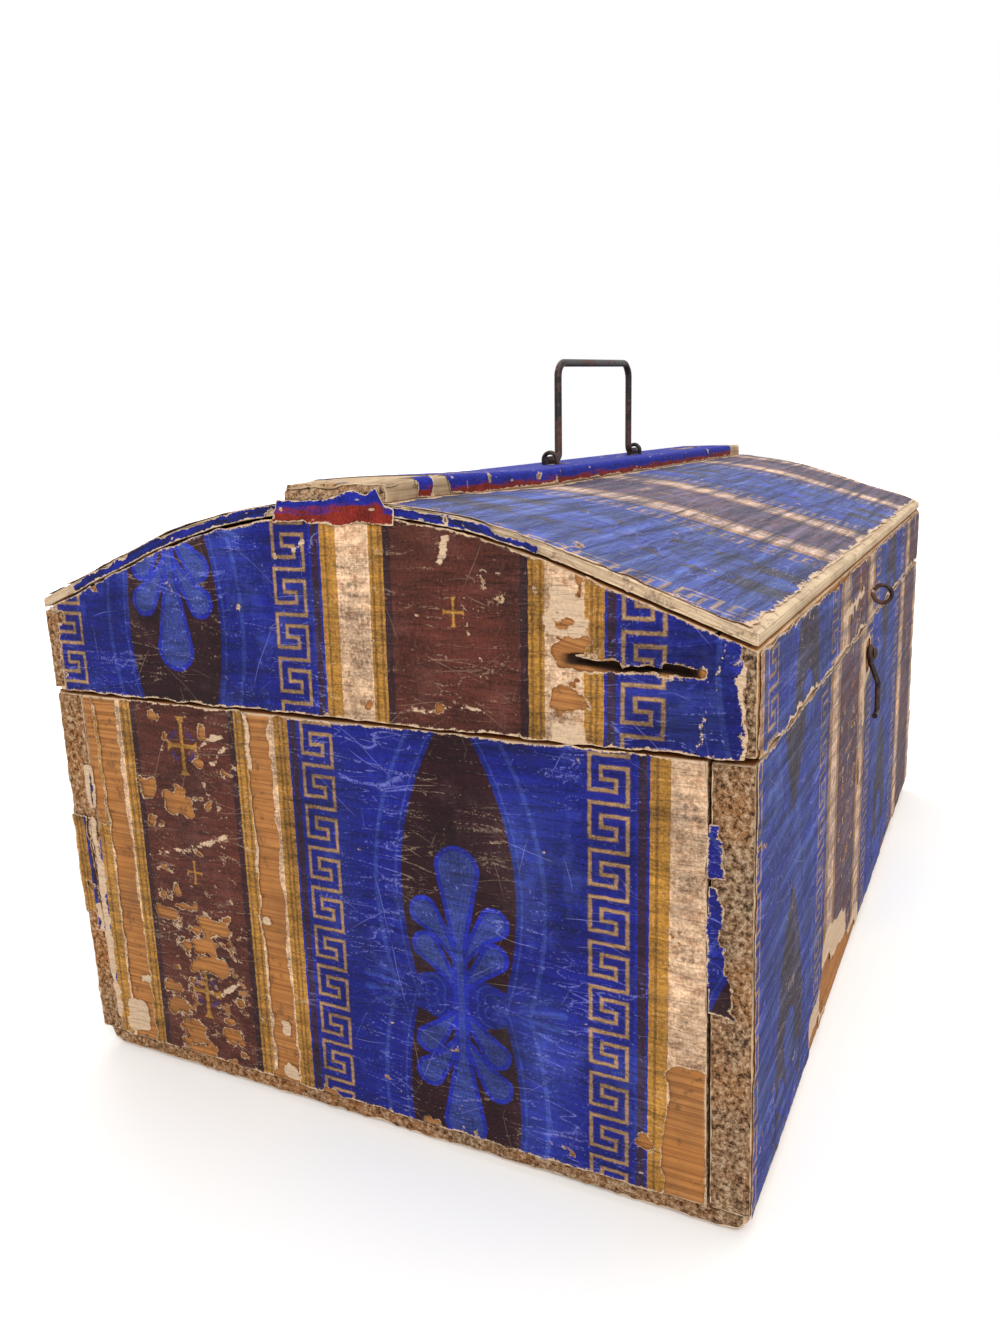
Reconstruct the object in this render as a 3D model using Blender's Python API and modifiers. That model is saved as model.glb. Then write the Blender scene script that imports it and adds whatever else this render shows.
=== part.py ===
"""Dome-top dowry box: nailed board body, domed lid on wire hinges, bail handle, hook and eye."""

import math

import bmesh
import bpy
from mathutils import Matrix, Vector

# Overall sizes in metres: length along X, depth along Y with the front at -Y, Z up from the base.
LENGTH = 0.480
DEPTH = 0.300
SEAM_HEIGHT = 0.169
LID_RISE = 0.079
DOME_ARC_HALF = 0.090
DOME_SLOPE = 0.38

# Sag of the lid's sheet, which has sunk behind the near gable.
RIDGE_SAG = 0.0032
SAG_RUN = 0.135

# Thicknesses of the boards.
SIDE_BOARD = 0.0145
END_BOARD = 0.0145
BOTTOM_BOARD = 0.008
BOTTOM_INSET = 0.0012
RAIL_BOARD = 0.0125
GABLE_BOARD = 0.0125
DOME_SHEET = 0.004
BOARD_ROUNDING = 0.0012
BOTTOM_ROUNDING = 0.0035
ROUNDING_SHARE_OF_WALL = 0.45

# Batten along the ridge.
BATTEN_WIDTH = 0.044
BATTEN_RISE = 0.0065
BATTEN_SHIFT = -0.0025
BATTEN_ROUNDING = 0.0018

# Bail handle and its staples.
BAIL_WIRE = 0.0019
BAIL_WIDTH = 0.104
BAIL_HEIGHT = 0.0472
BAIL_FAR_HEIGHT = 0.0505
BAIL_LEAN = 0.0026
BAIL_FOOT = 0.0155
BAIL_CORNER = 0.008
BAIL_FOOT_BEND = 0.004
BAIL_SHIFT = 0.0082
STAPLE_WIRE = 0.0011
STAPLE_FROM_FOOT_END = 0.005
STAPLE_CLENCH = 0.008

# Hook and eye on the front.
EYE_WIRE = 0.0011
EYE_RADIUS = 0.0044
EYE_ABOVE_SEAM = 0.013
EYE_STEM = 0.010
HOOK_WIRE = 0.0014
HOOK_BELOW_SEAM = 0.0165
HOOK_TIP = 0.009
HOOK_NAIL_SHANK = 0.0012
HOOK_NAIL_HEAD = 0.0034
HOOK_NAIL_HEAD_HEIGHT = 0.0016
HOOK_NAIL_DEPTH = 0.011

# Wire hinges on the back.
HINGE_WIRE = 0.0012
HINGE_FROM_END = 0.100
HINGE_BELOW_SEAM = 0.006
HINGE_BAR = 0.016
HINGE_TAIL_ABOVE_SEAM = 0.012
HINGE_CLENCH = 0.007

# Nails: shank radius, length, head radius and head height of the two kinds.
NAIL_SHANK = 0.0011
NAIL_LENGTH = 0.032
NAIL_HEAD = 0.0024
NAIL_HEAD_HEIGHT = 0.0010
TACK_SHANK = 0.0008
TACK_LENGTH = 0.016
TACK_HEAD = 0.0020
TACK_HEAD_HEIGHT = 0.0007
NAIL_SINK = 0.0003
CORNER_NAILS = 2
LID_CORNER_NAILS = 1
BOTTOM_NAILS_LONG = 2
BOTTOM_NAILS_SHORT = 1
GABLE_TACKS_EACH_SIDE = 1
EAVE_TACKS = 3
NAIL_EDGE_MARGIN = 0.030

# Clearances.
FIT = 0.0003
HINGE_PLAY = 0.0005
BAIL_PLAY = 0.0006
HOOK_PLAY = 0.0006

# Facets.
ARC_STEPS = 16
SAG_STEPS = 8
BEND_STEPS = 4
RING_STEPS = 14
TURN_STEPS = 8
HOLE_STEPS = 12
HEAD_STEPS = 3

# Places worked out from the sizes above.
LID_BASE = SEAM_HEIGHT + FIT
APEX = SEAM_HEIGHT + LID_RISE
BATTEN_TOP = APEX + BATTEN_RISE
SIDE_BASE = BOTTOM_BOARD + FIT
DOME_RADIUS = DOME_ARC_HALF * math.sqrt(1 + DOME_SLOPE ** 2) / DOME_SLOPE
SAG_START = -LENGTH / 2 + GABLE_BOARD
HINGE_RING = 2 * HINGE_WIRE + HINGE_PLAY
HINGE_AXIS = Vector((0, DEPTH / 2 + FIT + HINGE_RING + HINGE_WIRE, SEAM_HEIGHT - HINGE_BELOW_SEAM))
HINGE_X = LENGTH / 2 - HINGE_FROM_END
EYE_CENTRE = Vector((
    (HOOK_WIRE + EYE_WIRE + HOOK_PLAY) / 2,
    -DEPTH / 2 - FIT - EYE_RADIUS - EYE_WIRE,
    LID_BASE + EYE_ABOVE_SEAM,
))
HOOK_RING = HOOK_NAIL_SHANK + HOOK_PLAY + HOOK_WIRE
HOOK_AXIS = Vector((
    -EYE_CENTRE.x,
    -DEPTH / 2 - FIT - HOOK_WIRE,
    SEAM_HEIGHT - HOOK_BELOW_SEAM,
))
HOOK_REACH = EYE_CENTRE.z - HOOK_AXIS.z

# Plane whose drawing X and Y run along the box's depth and height, extruded along its length.
CROSS_SECTION = Matrix(((0, 0, 1, 0), (1, 0, 0, 0), (0, 1, 0, 0), (0, 0, 0, 1)))

# Finishes: colour, roughness and metallic value.
BLUE_PAPER = ((0.020, 0.026, 0.300), 0.75, 0.0)
BROWN_PAPER = ((0.075, 0.024, 0.022), 0.80, 0.0)
BARE_WOOD = ((0.420, 0.270, 0.130), 0.80, 0.0)
DARK_IRON = ((0.045, 0.038, 0.034), 0.55, 0.9)


def empty_scene():
    """Remove every object that the scene starts with."""
    for item in list(bpy.data.objects):
        bpy.data.objects.remove(item, do_unlink=True)


def new_collection(name):
    """Add a collection to the scene and return it."""
    group = bpy.data.collections.new(name)
    bpy.context.scene.collection.children.link(group)
    return group


def finish(item, look):
    """Give an object's mesh a Principled material of its own."""
    colour, roughness, metallic = look
    if item.data.materials:
        return
    made = bpy.data.materials.new(item.name + "_finish")
    made.use_nodes = True
    shader = made.node_tree.nodes["Principled BSDF"]
    shader.inputs["Base Color"].default_value = (*colour, 1)
    shader.inputs["Roughness"].default_value = roughness
    shader.inputs["Metallic"].default_value = metallic
    item.data.materials.append(made)


def place(item, group, look=None, pivot=None):
    """Link an object, dress it and hang it on the pivot that carries it."""
    group.objects.link(item)
    if look:
        finish(item, look)
    if pivot:
        bpy.context.view_layer.update()
        item.parent = pivot
        item.matrix_parent_inverse = pivot.matrix_world.inverted()
    return item


def as_cutter(item, group, pivot=None):
    """Keep an object as a cutting shape only."""
    place(item, group, pivot=pivot)
    item.hide_render = True
    item.display_type = "WIRE"
    return item


def cut(item, *cutters):
    """Subtract cutting shapes from an object."""
    for cutter in cutters:
        step = item.modifiers.new(cutter.name, "BOOLEAN")
        step.operation = "DIFFERENCE"
        step.solver = "EXACT"
        step.object = cutter


def round_edges(item, width, wall, segments=2):
    """Round an object's sharp edges, by no more than its wall can give."""
    step = item.modifiers.new("rounded_edges", "BEVEL")
    step.width = min(width, wall * ROUNDING_SHARE_OF_WALL)
    step.segments = segments
    step.limit_method = "ANGLE"
    step.angle_limit = math.radians(50)


def evaluated_mesh(item):
    """Return an object's evaluated mesh, welded and facing out."""
    bpy.context.view_layer.update()
    depsgraph = bpy.context.evaluated_depsgraph_get()
    mesh = bpy.data.meshes.new_from_object(item.evaluated_get(depsgraph))
    work = bmesh.new()
    work.from_mesh(mesh)
    bmesh.ops.remove_doubles(work, verts=work.verts, dist=1e-6)
    bmesh.ops.recalc_face_normals(work, faces=work.faces)
    work.to_mesh(mesh)
    work.free()
    return mesh


def solid_from(helper, name, matrix=None):
    """Turn a helper curve or profile into a mesh object, and remove the helper."""
    bpy.context.scene.collection.objects.link(helper)
    mesh = evaluated_mesh(helper)
    bpy.data.objects.remove(helper, do_unlink=True)
    mesh.name = name
    item = bpy.data.objects.new(name, mesh)
    if matrix:
        item.matrix_world = matrix
    return item


def smooth(item, angle=40):
    """Shade a round piece smooth, keeping its sharp edges."""
    item.data.shade_smooth()
    item.data.set_sharp_from_angle(angle=math.radians(angle))
    return item


def board(name, low, high):
    """Return a board that fills the box between two corners, with its origin at its centre."""
    low = Vector(low)
    high = Vector(high)
    work = bmesh.new()
    bmesh.ops.create_cube(work, size=1.0)
    bmesh.ops.scale(work, vec=high - low, verts=work.verts)
    mesh = bpy.data.meshes.new(name)
    work.to_mesh(mesh)
    work.free()
    item = bpy.data.objects.new(name, mesh)
    item.location = (low + high) / 2
    return item


def section_solid(name, outline, start, end):
    """Extrude an outline of depth and height points along the box's length."""
    drawing = bpy.data.curves.new(name, "CURVE")
    drawing.dimensions = "2D"
    drawing.fill_mode = "BOTH"
    drawing.extrude = (end - start) / 2
    spline = drawing.splines.new("POLY")
    spline.points.add(len(outline) - 1)
    for point, (y, z) in zip(spline.points, outline):
        point.co = (y, z, 0, 1)
    spline.use_cyclic_u = True
    helper = bpy.data.objects.new(name, drawing)
    matrix = Matrix.Translation(((start + end) / 2, 0, 0)) @ CROSS_SECTION
    return solid_from(helper, name, matrix)


def wire(name, points, radius, matrix=None):
    """Return a round wire along a list of points."""
    path = bpy.data.curves.new(name, "CURVE")
    path.dimensions = "3D"
    path.bevel_depth = radius
    path.bevel_resolution = 2
    path.use_fill_caps = True
    spline = path.splines.new("POLY")
    spline.points.add(len(points) - 1)
    for point, place_at in zip(spline.points, points):
        point.co = (*place_at, 1)
    helper = bpy.data.objects.new(name, path)
    return smooth(solid_from(helper, name, matrix))


def bent(corners, radius):
    """Return points along a path of corners, each inner corner turned on an arc of one radius."""
    corners = [Vector(corner) for corner in corners]
    points = [corners[0]]
    for before, corner, after in zip(corners, corners[1:], corners[2:]):
        inward = (before - corner).normalized()
        outward = (after - corner).normalized()
        half = inward.angle(outward) / 2
        back = radius / math.tan(half)
        middle = corner + (inward + outward).normalized() * radius / math.sin(half)
        first = corner + inward * back - middle
        last = corner + outward * back - middle
        turn = first.angle(last)
        for step in range(BEND_STEPS + 1):
            part = turn * step / BEND_STEPS
            blend = first * math.sin(turn - part) + last * math.sin(part)
            points.append(middle + blend / math.sin(turn))
    points.append(corners[-1])
    return points


def ring(centre, across, up, radius, start, sweep):
    """Return points of a circle in the plane of two directions, from an angle through a sweep."""
    points = []
    for step in range(RING_STEPS + 1):
        angle = start + sweep * step / RING_STEPS
        points.append(centre + radius * (across * math.cos(angle) + up * math.sin(angle)))
    return points


def ring_gap(radius, thickness):
    """Return the angle that keeps a ring's cut end clear of the stem it starts from."""
    return 2 * math.asin((1.5 * thickness + FIT) / (2 * radius))


def dome_height(y, below=0.0):
    """Return the height of the dome's surface, or of the surface that lies below it, at a depth."""
    radius = DOME_RADIUS - below
    arc_half = DOME_ARC_HALF * radius / DOME_RADIUS
    out = abs(y)
    fall = radius - math.sqrt(radius ** 2 - min(out, arc_half) ** 2)
    return APEX - below - fall - max(out - arc_half, 0) * DOME_SLOPE


def dome_line(start, end, below=0.0):
    """Return points along the dome's surface between two depths."""
    line = []
    for step in range(ARC_STEPS + 1):
        y = start + (end - start) * step / ARC_STEPS
        line.append((y, dome_height(y, below)))
    return line


def sunk(x, y, z=APEX):
    """Return how far the lid has sunk at a point: not at all at its near gable, eaves and base."""
    along = min(max((x - SAG_START) / SAG_RUN, 0), 1)
    across = max(1 - (y / (DEPTH / 2 - RAIL_BOARD)) ** 2, 0)
    eave = dome_height(DEPTH / 2, DOME_SHEET)
    up = min(max((z - LID_BASE) / (eave - LID_BASE), 0), 1)
    return RIDGE_SAG * along ** 2 * (3 - 2 * along) * across * up


def settle(item):
    """Divide a piece of the lid along its sag, and sink it."""
    work = bmesh.new()
    work.from_mesh(item.data)
    work.transform(item.matrix_world)
    for x in spread(SAG_START, SAG_START + SAG_RUN, SAG_STEPS + 1):
        geometry = work.verts[:] + work.edges[:] + work.faces[:]
        bmesh.ops.bisect_plane(work, geom=geometry, plane_co=(x, 0, 0), plane_no=(1, 0, 0))
    for vert in work.verts:
        vert.co.z -= sunk(*vert.co)
    work.transform(item.matrix_world.inverted())
    work.to_mesh(item.data)
    work.free()


def turned(name, profile):
    """Return a mesh turned about Z from a profile of radius and height, top to bottom."""
    line = bpy.data.meshes.new(name)
    edges = [(index, index + 1) for index in range(len(profile) - 1)]
    line.from_pydata([(radius, 0, z) for radius, z in profile], edges, [])
    helper = bpy.data.objects.new(name, line)
    step = helper.modifiers.new("turned", "SCREW")
    step.steps = TURN_STEPS
    step.render_steps = TURN_STEPS
    step.use_merge_vertices = True
    step.merge_threshold = 1e-5
    made = solid_from(helper, name)
    mesh = made.data
    bpy.data.objects.remove(made, do_unlink=True)
    return mesh


def nail_profile(shank, length, head, head_height, grow=0.0, open_top=0.0):
    """Return a nail's profile from its head's top at zero, or the hole that clears it."""
    return [
        (0, open_top),
        (head + grow, open_top),
        (head + grow, -head_height - grow),
        (shank + grow, -head_height - grow),
        (shank + grow, -length + shank - grow),
        (0, -length - grow),
    ]


def driven(point, direction):
    """Return the placement of a nail whose head is at a point, driven along a direction."""
    turn = (-Vector(direction)).to_track_quat("Z", "Y").to_matrix().to_4x4()
    return Matrix.Translation(Vector(point)) @ turn


def copies(name, mesh, placements):
    """Return one cutting object that holds a copy of a mesh at each placement."""
    work = bmesh.new()
    for placement in placements:
        known = set(work.verts)
        work.from_mesh(mesh)
        fresh = [vert for vert in work.verts if vert not in known]
        bmesh.ops.transform(work, matrix=placement, verts=fresh)
    joined = bpy.data.meshes.new(name)
    work.to_mesh(joined)
    work.free()
    return bpy.data.objects.new(name, joined)


def nailed(name, kind, placements, pieces, groups, pivot=None):
    """Add nails of one kind and cut their clearance holes in the pieces that they hold."""
    parts, cutters = groups
    mesh = turned(name, nail_profile(*kind))
    for index, placement in enumerate(placements):
        nail = smooth(bpy.data.objects.new(f"{name}_{index + 1}", mesh))
        nail.matrix_world = placement
        place(nail, parts, DARK_IRON, pivot)
    holes_mesh = turned(name + "_hole", nail_profile(*kind, grow=FIT, open_top=2 * NAIL_SINK))
    holes = as_cutter(copies(name + "_holes", holes_mesh, placements), cutters, pivot)
    for piece in pieces:
        cut(piece, holes)


def drilled(name, starts, direction, radius, depth, pieces, cutters, pivot=None):
    """Cut round holes of one radius and depth along a direction."""
    along = Vector(direction)
    work = bmesh.new()
    for start in starts:
        middle = Vector(start) + along * depth / 2
        matrix = Matrix.Translation(middle) @ along.to_track_quat("Z", "Y").to_matrix().to_4x4()
        bmesh.ops.create_cone(
            work, cap_ends=True, segments=HOLE_STEPS, radius1=radius, radius2=radius,
            depth=depth, matrix=matrix)
    mesh = bpy.data.meshes.new(name)
    work.to_mesh(mesh)
    work.free()
    holes = as_cutter(bpy.data.objects.new(name, mesh), cutters, pivot)
    for piece in pieces:
        cut(piece, holes)


def spread(low, high, count):
    """Return places spaced evenly from a low to a high value."""
    if count == 1:
        return [(low + high) / 2]
    return [low + (high - low) * index / (count - 1) for index in range(count)]


def build_body(parts):
    """Add the bottom and the four sides, and return them by name."""
    half_length = LENGTH / 2
    half_depth = DEPTH / 2
    inner = half_depth - SIDE_BOARD
    end_width = inner - FIT
    pieces = {
        "bottom_board": board(
            "bottom_board",
            (-half_length + BOTTOM_INSET, -half_depth + BOTTOM_INSET, 0),
            (half_length - BOTTOM_INSET, half_depth - BOTTOM_INSET, BOTTOM_BOARD)),
        "front_board": board(
            "front_board",
            (-half_length, -half_depth, SIDE_BASE),
            (half_length, -inner, SEAM_HEIGHT)),
        "back_board": board(
            "back_board",
            (-half_length, inner, SIDE_BASE),
            (half_length, half_depth, SEAM_HEIGHT)),
        "left_end_board": board(
            "left_end_board",
            (-half_length, -end_width, SIDE_BASE),
            (-half_length + END_BOARD, end_width, SEAM_HEIGHT)),
        "right_end_board": board(
            "right_end_board",
            (half_length - END_BOARD, -end_width, SIDE_BASE),
            (half_length, end_width, SEAM_HEIGHT)),
    }
    for name, piece in pieces.items():
        place(piece, parts, BARE_WOOD if name == "bottom_board" else BLUE_PAPER)
    round_edges(pieces["bottom_board"], BOTTOM_ROUNDING, BOTTOM_BOARD)
    round_edges(pieces["front_board"], BOARD_ROUNDING, SIDE_BOARD)
    round_edges(pieces["back_board"], BOARD_ROUNDING, SIDE_BOARD)
    round_edges(pieces["left_end_board"], BOARD_ROUNDING, END_BOARD)
    round_edges(pieces["right_end_board"], BOARD_ROUNDING, END_BOARD)
    return pieces


def build_lid(parts, pivot):
    """Add the rails, gables, bent sheet and ridge batten, and return them by name."""
    half_length = LENGTH / 2
    half_depth = DEPTH / 2
    inner = half_depth - RAIL_BOARD
    gable_half = inner - FIT
    under = DOME_SHEET + FIT

    def rail(name, side):
        outline = [(side * half_depth, LID_BASE)]
        outline += dome_line(side * half_depth, side * inner, under)
        outline.append((side * inner, LID_BASE))
        return section_solid(name, outline, -half_length, half_length)

    def gable(name, start):
        outline = [(-gable_half, LID_BASE), (gable_half, LID_BASE)]
        outline += dome_line(gable_half, -gable_half, under)
        return section_solid(name, outline, start, start + GABLE_BOARD)

    sheet = dome_line(-half_depth, half_depth) + dome_line(half_depth, -half_depth, DOME_SHEET)
    strip = dome_line(BATTEN_SHIFT - BATTEN_WIDTH / 2, BATTEN_SHIFT + BATTEN_WIDTH / 2, -FIT)
    strip += [(strip[-1][0], BATTEN_TOP), (strip[0][0], BATTEN_TOP)]
    pieces = {
        "lid_front_rail": rail("lid_front_rail", -1),
        "lid_back_rail": rail("lid_back_rail", 1),
        "lid_left_gable": gable("lid_left_gable", -half_length),
        "lid_right_gable": gable("lid_right_gable", half_length - GABLE_BOARD),
        "dome_sheet": section_solid("dome_sheet", sheet, -half_length, half_length),
        "ridge_batten": section_solid("ridge_batten", strip, -half_length, half_length),
    }
    for name in ("lid_right_gable", "dome_sheet", "ridge_batten"):
        settle(pieces[name])
    for name, piece in pieces.items():
        place(piece, parts, BROWN_PAPER if name == "ridge_batten" else BLUE_PAPER, pivot)
    round_edges(pieces["ridge_batten"], BATTEN_ROUNDING, BATTEN_RISE)
    return pieces


def build_handle(parts, cutters, pivot, lid):
    """Add the bail and the two staples that hold its feet to the batten."""
    seat = BATTEN_TOP - sunk(BAIL_SHIFT, BATTEN_SHIFT)
    axis = Vector((BAIL_SHIFT, BATTEN_SHIFT, seat + BAIL_PLAY + BAIL_WIRE))
    half = BAIL_WIDTH / 2
    foot_end = half + BAIL_FOOT
    feet = [(-foot_end, 0, 0), (-half, 0, 0)]
    crown = [(BAIL_LEAN - half, 0, BAIL_HEIGHT), (BAIL_LEAN + half, 0, BAIL_FAR_HEIGHT)]
    far_feet = [(half, 0, 0), (foot_end, 0, 0)]
    lower = bent(feet + crown[:1], BAIL_FOOT_BEND)[:-1]
    upper = bent([feet[-1]] + crown + far_feet[:1], BAIL_CORNER)[1:-1]
    closing = bent([crown[-1]] + far_feet, BAIL_FOOT_BEND)[1:]
    bail = wire("bail_handle", lower + upper + closing, BAIL_WIRE, Matrix.Translation(axis))
    place(bail, parts, DARK_IRON, pivot)

    arch = BAIL_WIRE + BAIL_PLAY + STAPLE_WIRE
    toe = arch + STAPLE_CLENCH
    lowest = max(abs(axis.y - toe), abs(axis.y + toe))
    clench = dome_height(lowest, DOME_SHEET) - sunk(axis.x, 0) - FIT - STAPLE_WIRE
    for name, side in (("left", -1), ("right", 1)):
        x = axis.x + side * (foot_end - STAPLE_FROM_FOOT_END)
        middle = Vector((x, axis.y, axis.z))
        over = ring(middle, Vector((0, 1, 0)), Vector((0, 0, 1)), arch, math.pi, -math.pi)
        left_leg = [(x, middle.y - toe, clench), (x, middle.y - arch, clench), over[0]]
        right_leg = [over[-1], (x, middle.y + arch, clench), (x, middle.y + toe, clench)]
        path = bent(left_leg, STAPLE_WIRE)[:-1] + over + bent(right_leg, STAPLE_WIRE)[1:]
        place(wire("handle_staple_" + name, path, STAPLE_WIRE), parts, DARK_IRON, pivot)
        tops = [(x, middle.y - arch, middle.z), (x, middle.y + arch, middle.z)]
        drilled(
            "handle_staple_holes_" + name, tops, (0, 0, -1), STAPLE_WIRE + FIT,
            middle.z - clench, (lid["ridge_batten"], lid["dome_sheet"]), cutters, pivot)


def build_catch(parts, cutters, pivot, body, lid):
    """Add the eye in the lid's front rail, and the hook with the nail that it turns on."""
    out = Vector((0, -1, 0))
    up = Vector((0, 0, 1))
    gap = ring_gap(EYE_RADIUS, EYE_WIRE)
    loop = ring(EYE_CENTRE, out, up, EYE_RADIUS, math.pi + gap / 3, 2 * math.pi - 4 * gap / 3)
    neck = EYE_CENTRE - out * (EYE_RADIUS + EYE_WIRE)
    stem_end = neck - out * EYE_STEM
    place(wire("lid_eye", [stem_end, neck] + loop, EYE_WIRE), parts, DARK_IRON, pivot)
    drilled(
        "lid_eye_hole", [neck + out * FIT], -out, EYE_WIRE + FIT, EYE_STEM + 3 * FIT,
        (lid["lid_front_rail"],), cutters, pivot)

    gap = ring_gap(HOOK_RING, HOOK_WIRE)
    across = Vector((1, 0, 0))
    loop = ring(Vector((0, 0, 0)), across, up, HOOK_RING,
                -math.pi / 2 - gap, -2 * math.pi + 4 * gap / 3)
    tip_plane = EYE_CENTRE.y - HOOK_AXIS.y
    shank = [
        (0, 0, -HOOK_RING - HOOK_WIRE),
        (0, tip_plane, -HOOK_REACH / 2),
        (0, tip_plane, -HOOK_REACH),
        (-HOOK_TIP, tip_plane, -HOOK_REACH),
    ]
    path = loop + bent(shank, HOOK_WIRE * 1.5)
    hook = wire("latch_hook", path, HOOK_WIRE, Matrix.Translation(HOOK_AXIS))
    place(hook, parts, DARK_IRON)

    head_under = HOOK_AXIS.y - HOOK_WIRE - HOOK_PLAY
    head_top = head_under - HOOK_NAIL_HEAD_HEIGHT
    length = -DEPTH / 2 + HOOK_NAIL_DEPTH - head_top
    quarter = [math.pi / 2 * step / HEAD_STEPS for step in range(HEAD_STEPS + 1)]
    profile = [
        (HOOK_NAIL_HEAD * math.sin(turn), -HOOK_NAIL_HEAD_HEIGHT * (1 - math.cos(turn)))
        for turn in quarter
    ]
    profile += [
        (HOOK_NAIL_SHANK, -HOOK_NAIL_HEAD_HEIGHT),
        (HOOK_NAIL_SHANK, -length + HOOK_NAIL_SHANK),
        (0, -length),
    ]
    nail = smooth(bpy.data.objects.new("hook_nail", turned("hook_nail", profile)))
    nail.matrix_world = driven((HOOK_AXIS.x, head_top, HOOK_AXIS.z), (0, 1, 0))
    place(nail, parts, DARK_IRON)
    face = Vector((HOOK_AXIS.x, -DEPTH / 2 - FIT, HOOK_AXIS.z))
    drilled(
        "hook_nail_hole", [face], (0, 1, 0), HOOK_NAIL_SHANK + FIT, HOOK_NAIL_DEPTH + 3 * FIT,
        (body["front_board"],), cutters)


def build_hinges(parts, cutters, pivot, body, lid):
    """Add a staple in the back board and a linked eye in the lid's back rail at each hinge."""
    back = Vector((0, 1, 0))
    up = Vector((0, 0, 1))
    board_inside = DEPTH / 2 - SIDE_BOARD - FIT - HINGE_WIRE
    rail_inside = DEPTH / 2 - RAIL_BOARD - FIT - HINGE_WIRE
    tail_z = LID_BASE + HINGE_TAIL_ABOVE_SEAM
    tail_y = HINGE_AXIS.y + HINGE_RING
    for name, side in (("left", -1), ("right", 1)):
        x = side * HINGE_X
        half = HINGE_BAR / 2
        z = HINGE_AXIS.z
        corners = [
            (x - half - HINGE_CLENCH, board_inside, z),
            (x - half, board_inside, z),
            (x - half, HINGE_AXIS.y, z),
            (x + half, HINGE_AXIS.y, z),
            (x + half, board_inside, z),
            (x + half + HINGE_CLENCH, board_inside, z),
        ]
        staple = wire("hinge_staple_" + name, bent(corners, HINGE_WIRE), HINGE_WIRE)
        place(staple, parts, DARK_IRON)
        legs = [(x - half, HINGE_AXIS.y, z), (x + half, HINGE_AXIS.y, z)]
        drilled(
            "hinge_staple_holes_" + name, legs, (0, -1, 0), HINGE_WIRE + FIT,
            HINGE_AXIS.y - board_inside, (body["back_board"],), cutters)

        centre = Vector((x, HINGE_AXIS.y, z))
        opening = math.acos(1 - (2 * HINGE_WIRE + FIT) / HINGE_RING)
        loop = ring(centre, back, up, HINGE_RING, opening, 2 * math.pi - opening)
        tail = [
            loop[-1],
            (x, tail_y, tail_z),
            (x, rail_inside, tail_z),
            (x, rail_inside, tail_z + HINGE_CLENCH),
        ]
        eye = wire("hinge_eye_" + name, loop[:-1] + bent(tail, HINGE_WIRE), HINGE_WIRE)
        place(eye, parts, DARK_IRON, pivot)
        drilled(
            "hinge_eye_hole_" + name, [(x, tail_y, tail_z)], (0, -1, 0), HINGE_WIRE + FIT,
            tail_y - rail_inside, (lid["lid_back_rail"],), cutters, pivot)


def nail_body(groups, body):
    """Nail the sides to the ends, and the bottom to all four."""
    nail = (NAIL_SHANK, NAIL_LENGTH, NAIL_HEAD, NAIL_HEAD_HEIGHT)
    corner_x = LENGTH / 2 - END_BOARD / 2
    face_y = DEPTH / 2 - NAIL_SINK
    heights = spread(SIDE_BASE + NAIL_EDGE_MARGIN, SEAM_HEIGHT - NAIL_EDGE_MARGIN, CORNER_NAILS)
    corners = []
    for x in (-corner_x, corner_x):
        for z in heights:
            corners.append(driven((x, -face_y, z), (0, 1, 0)))
            corners.append(driven((x, face_y, z), (0, -1, 0)))
    walls = ("front_board", "back_board", "left_end_board", "right_end_board")
    nailed("body_corner_nail", nail, corners, [body[name] for name in walls], groups)

    along = LENGTH / 2 - END_BOARD - NAIL_EDGE_MARGIN
    across = DEPTH / 2 - SIDE_BOARD - NAIL_LENGTH - NAIL_EDGE_MARGIN
    side_y = DEPTH / 2 - SIDE_BOARD / 2
    upward = []
    for x in spread(-along, along, BOTTOM_NAILS_LONG):
        upward.append(driven((x, -side_y, NAIL_SINK), (0, 0, 1)))
        upward.append(driven((x, side_y, NAIL_SINK), (0, 0, 1)))
    for y in spread(-across, across, BOTTOM_NAILS_SHORT):
        upward.append(driven((-corner_x, y, NAIL_SINK), (0, 0, 1)))
        upward.append(driven((corner_x, y, NAIL_SINK), (0, 0, 1)))
    nailed("bottom_nail", nail, upward, body.values(), groups)


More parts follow.
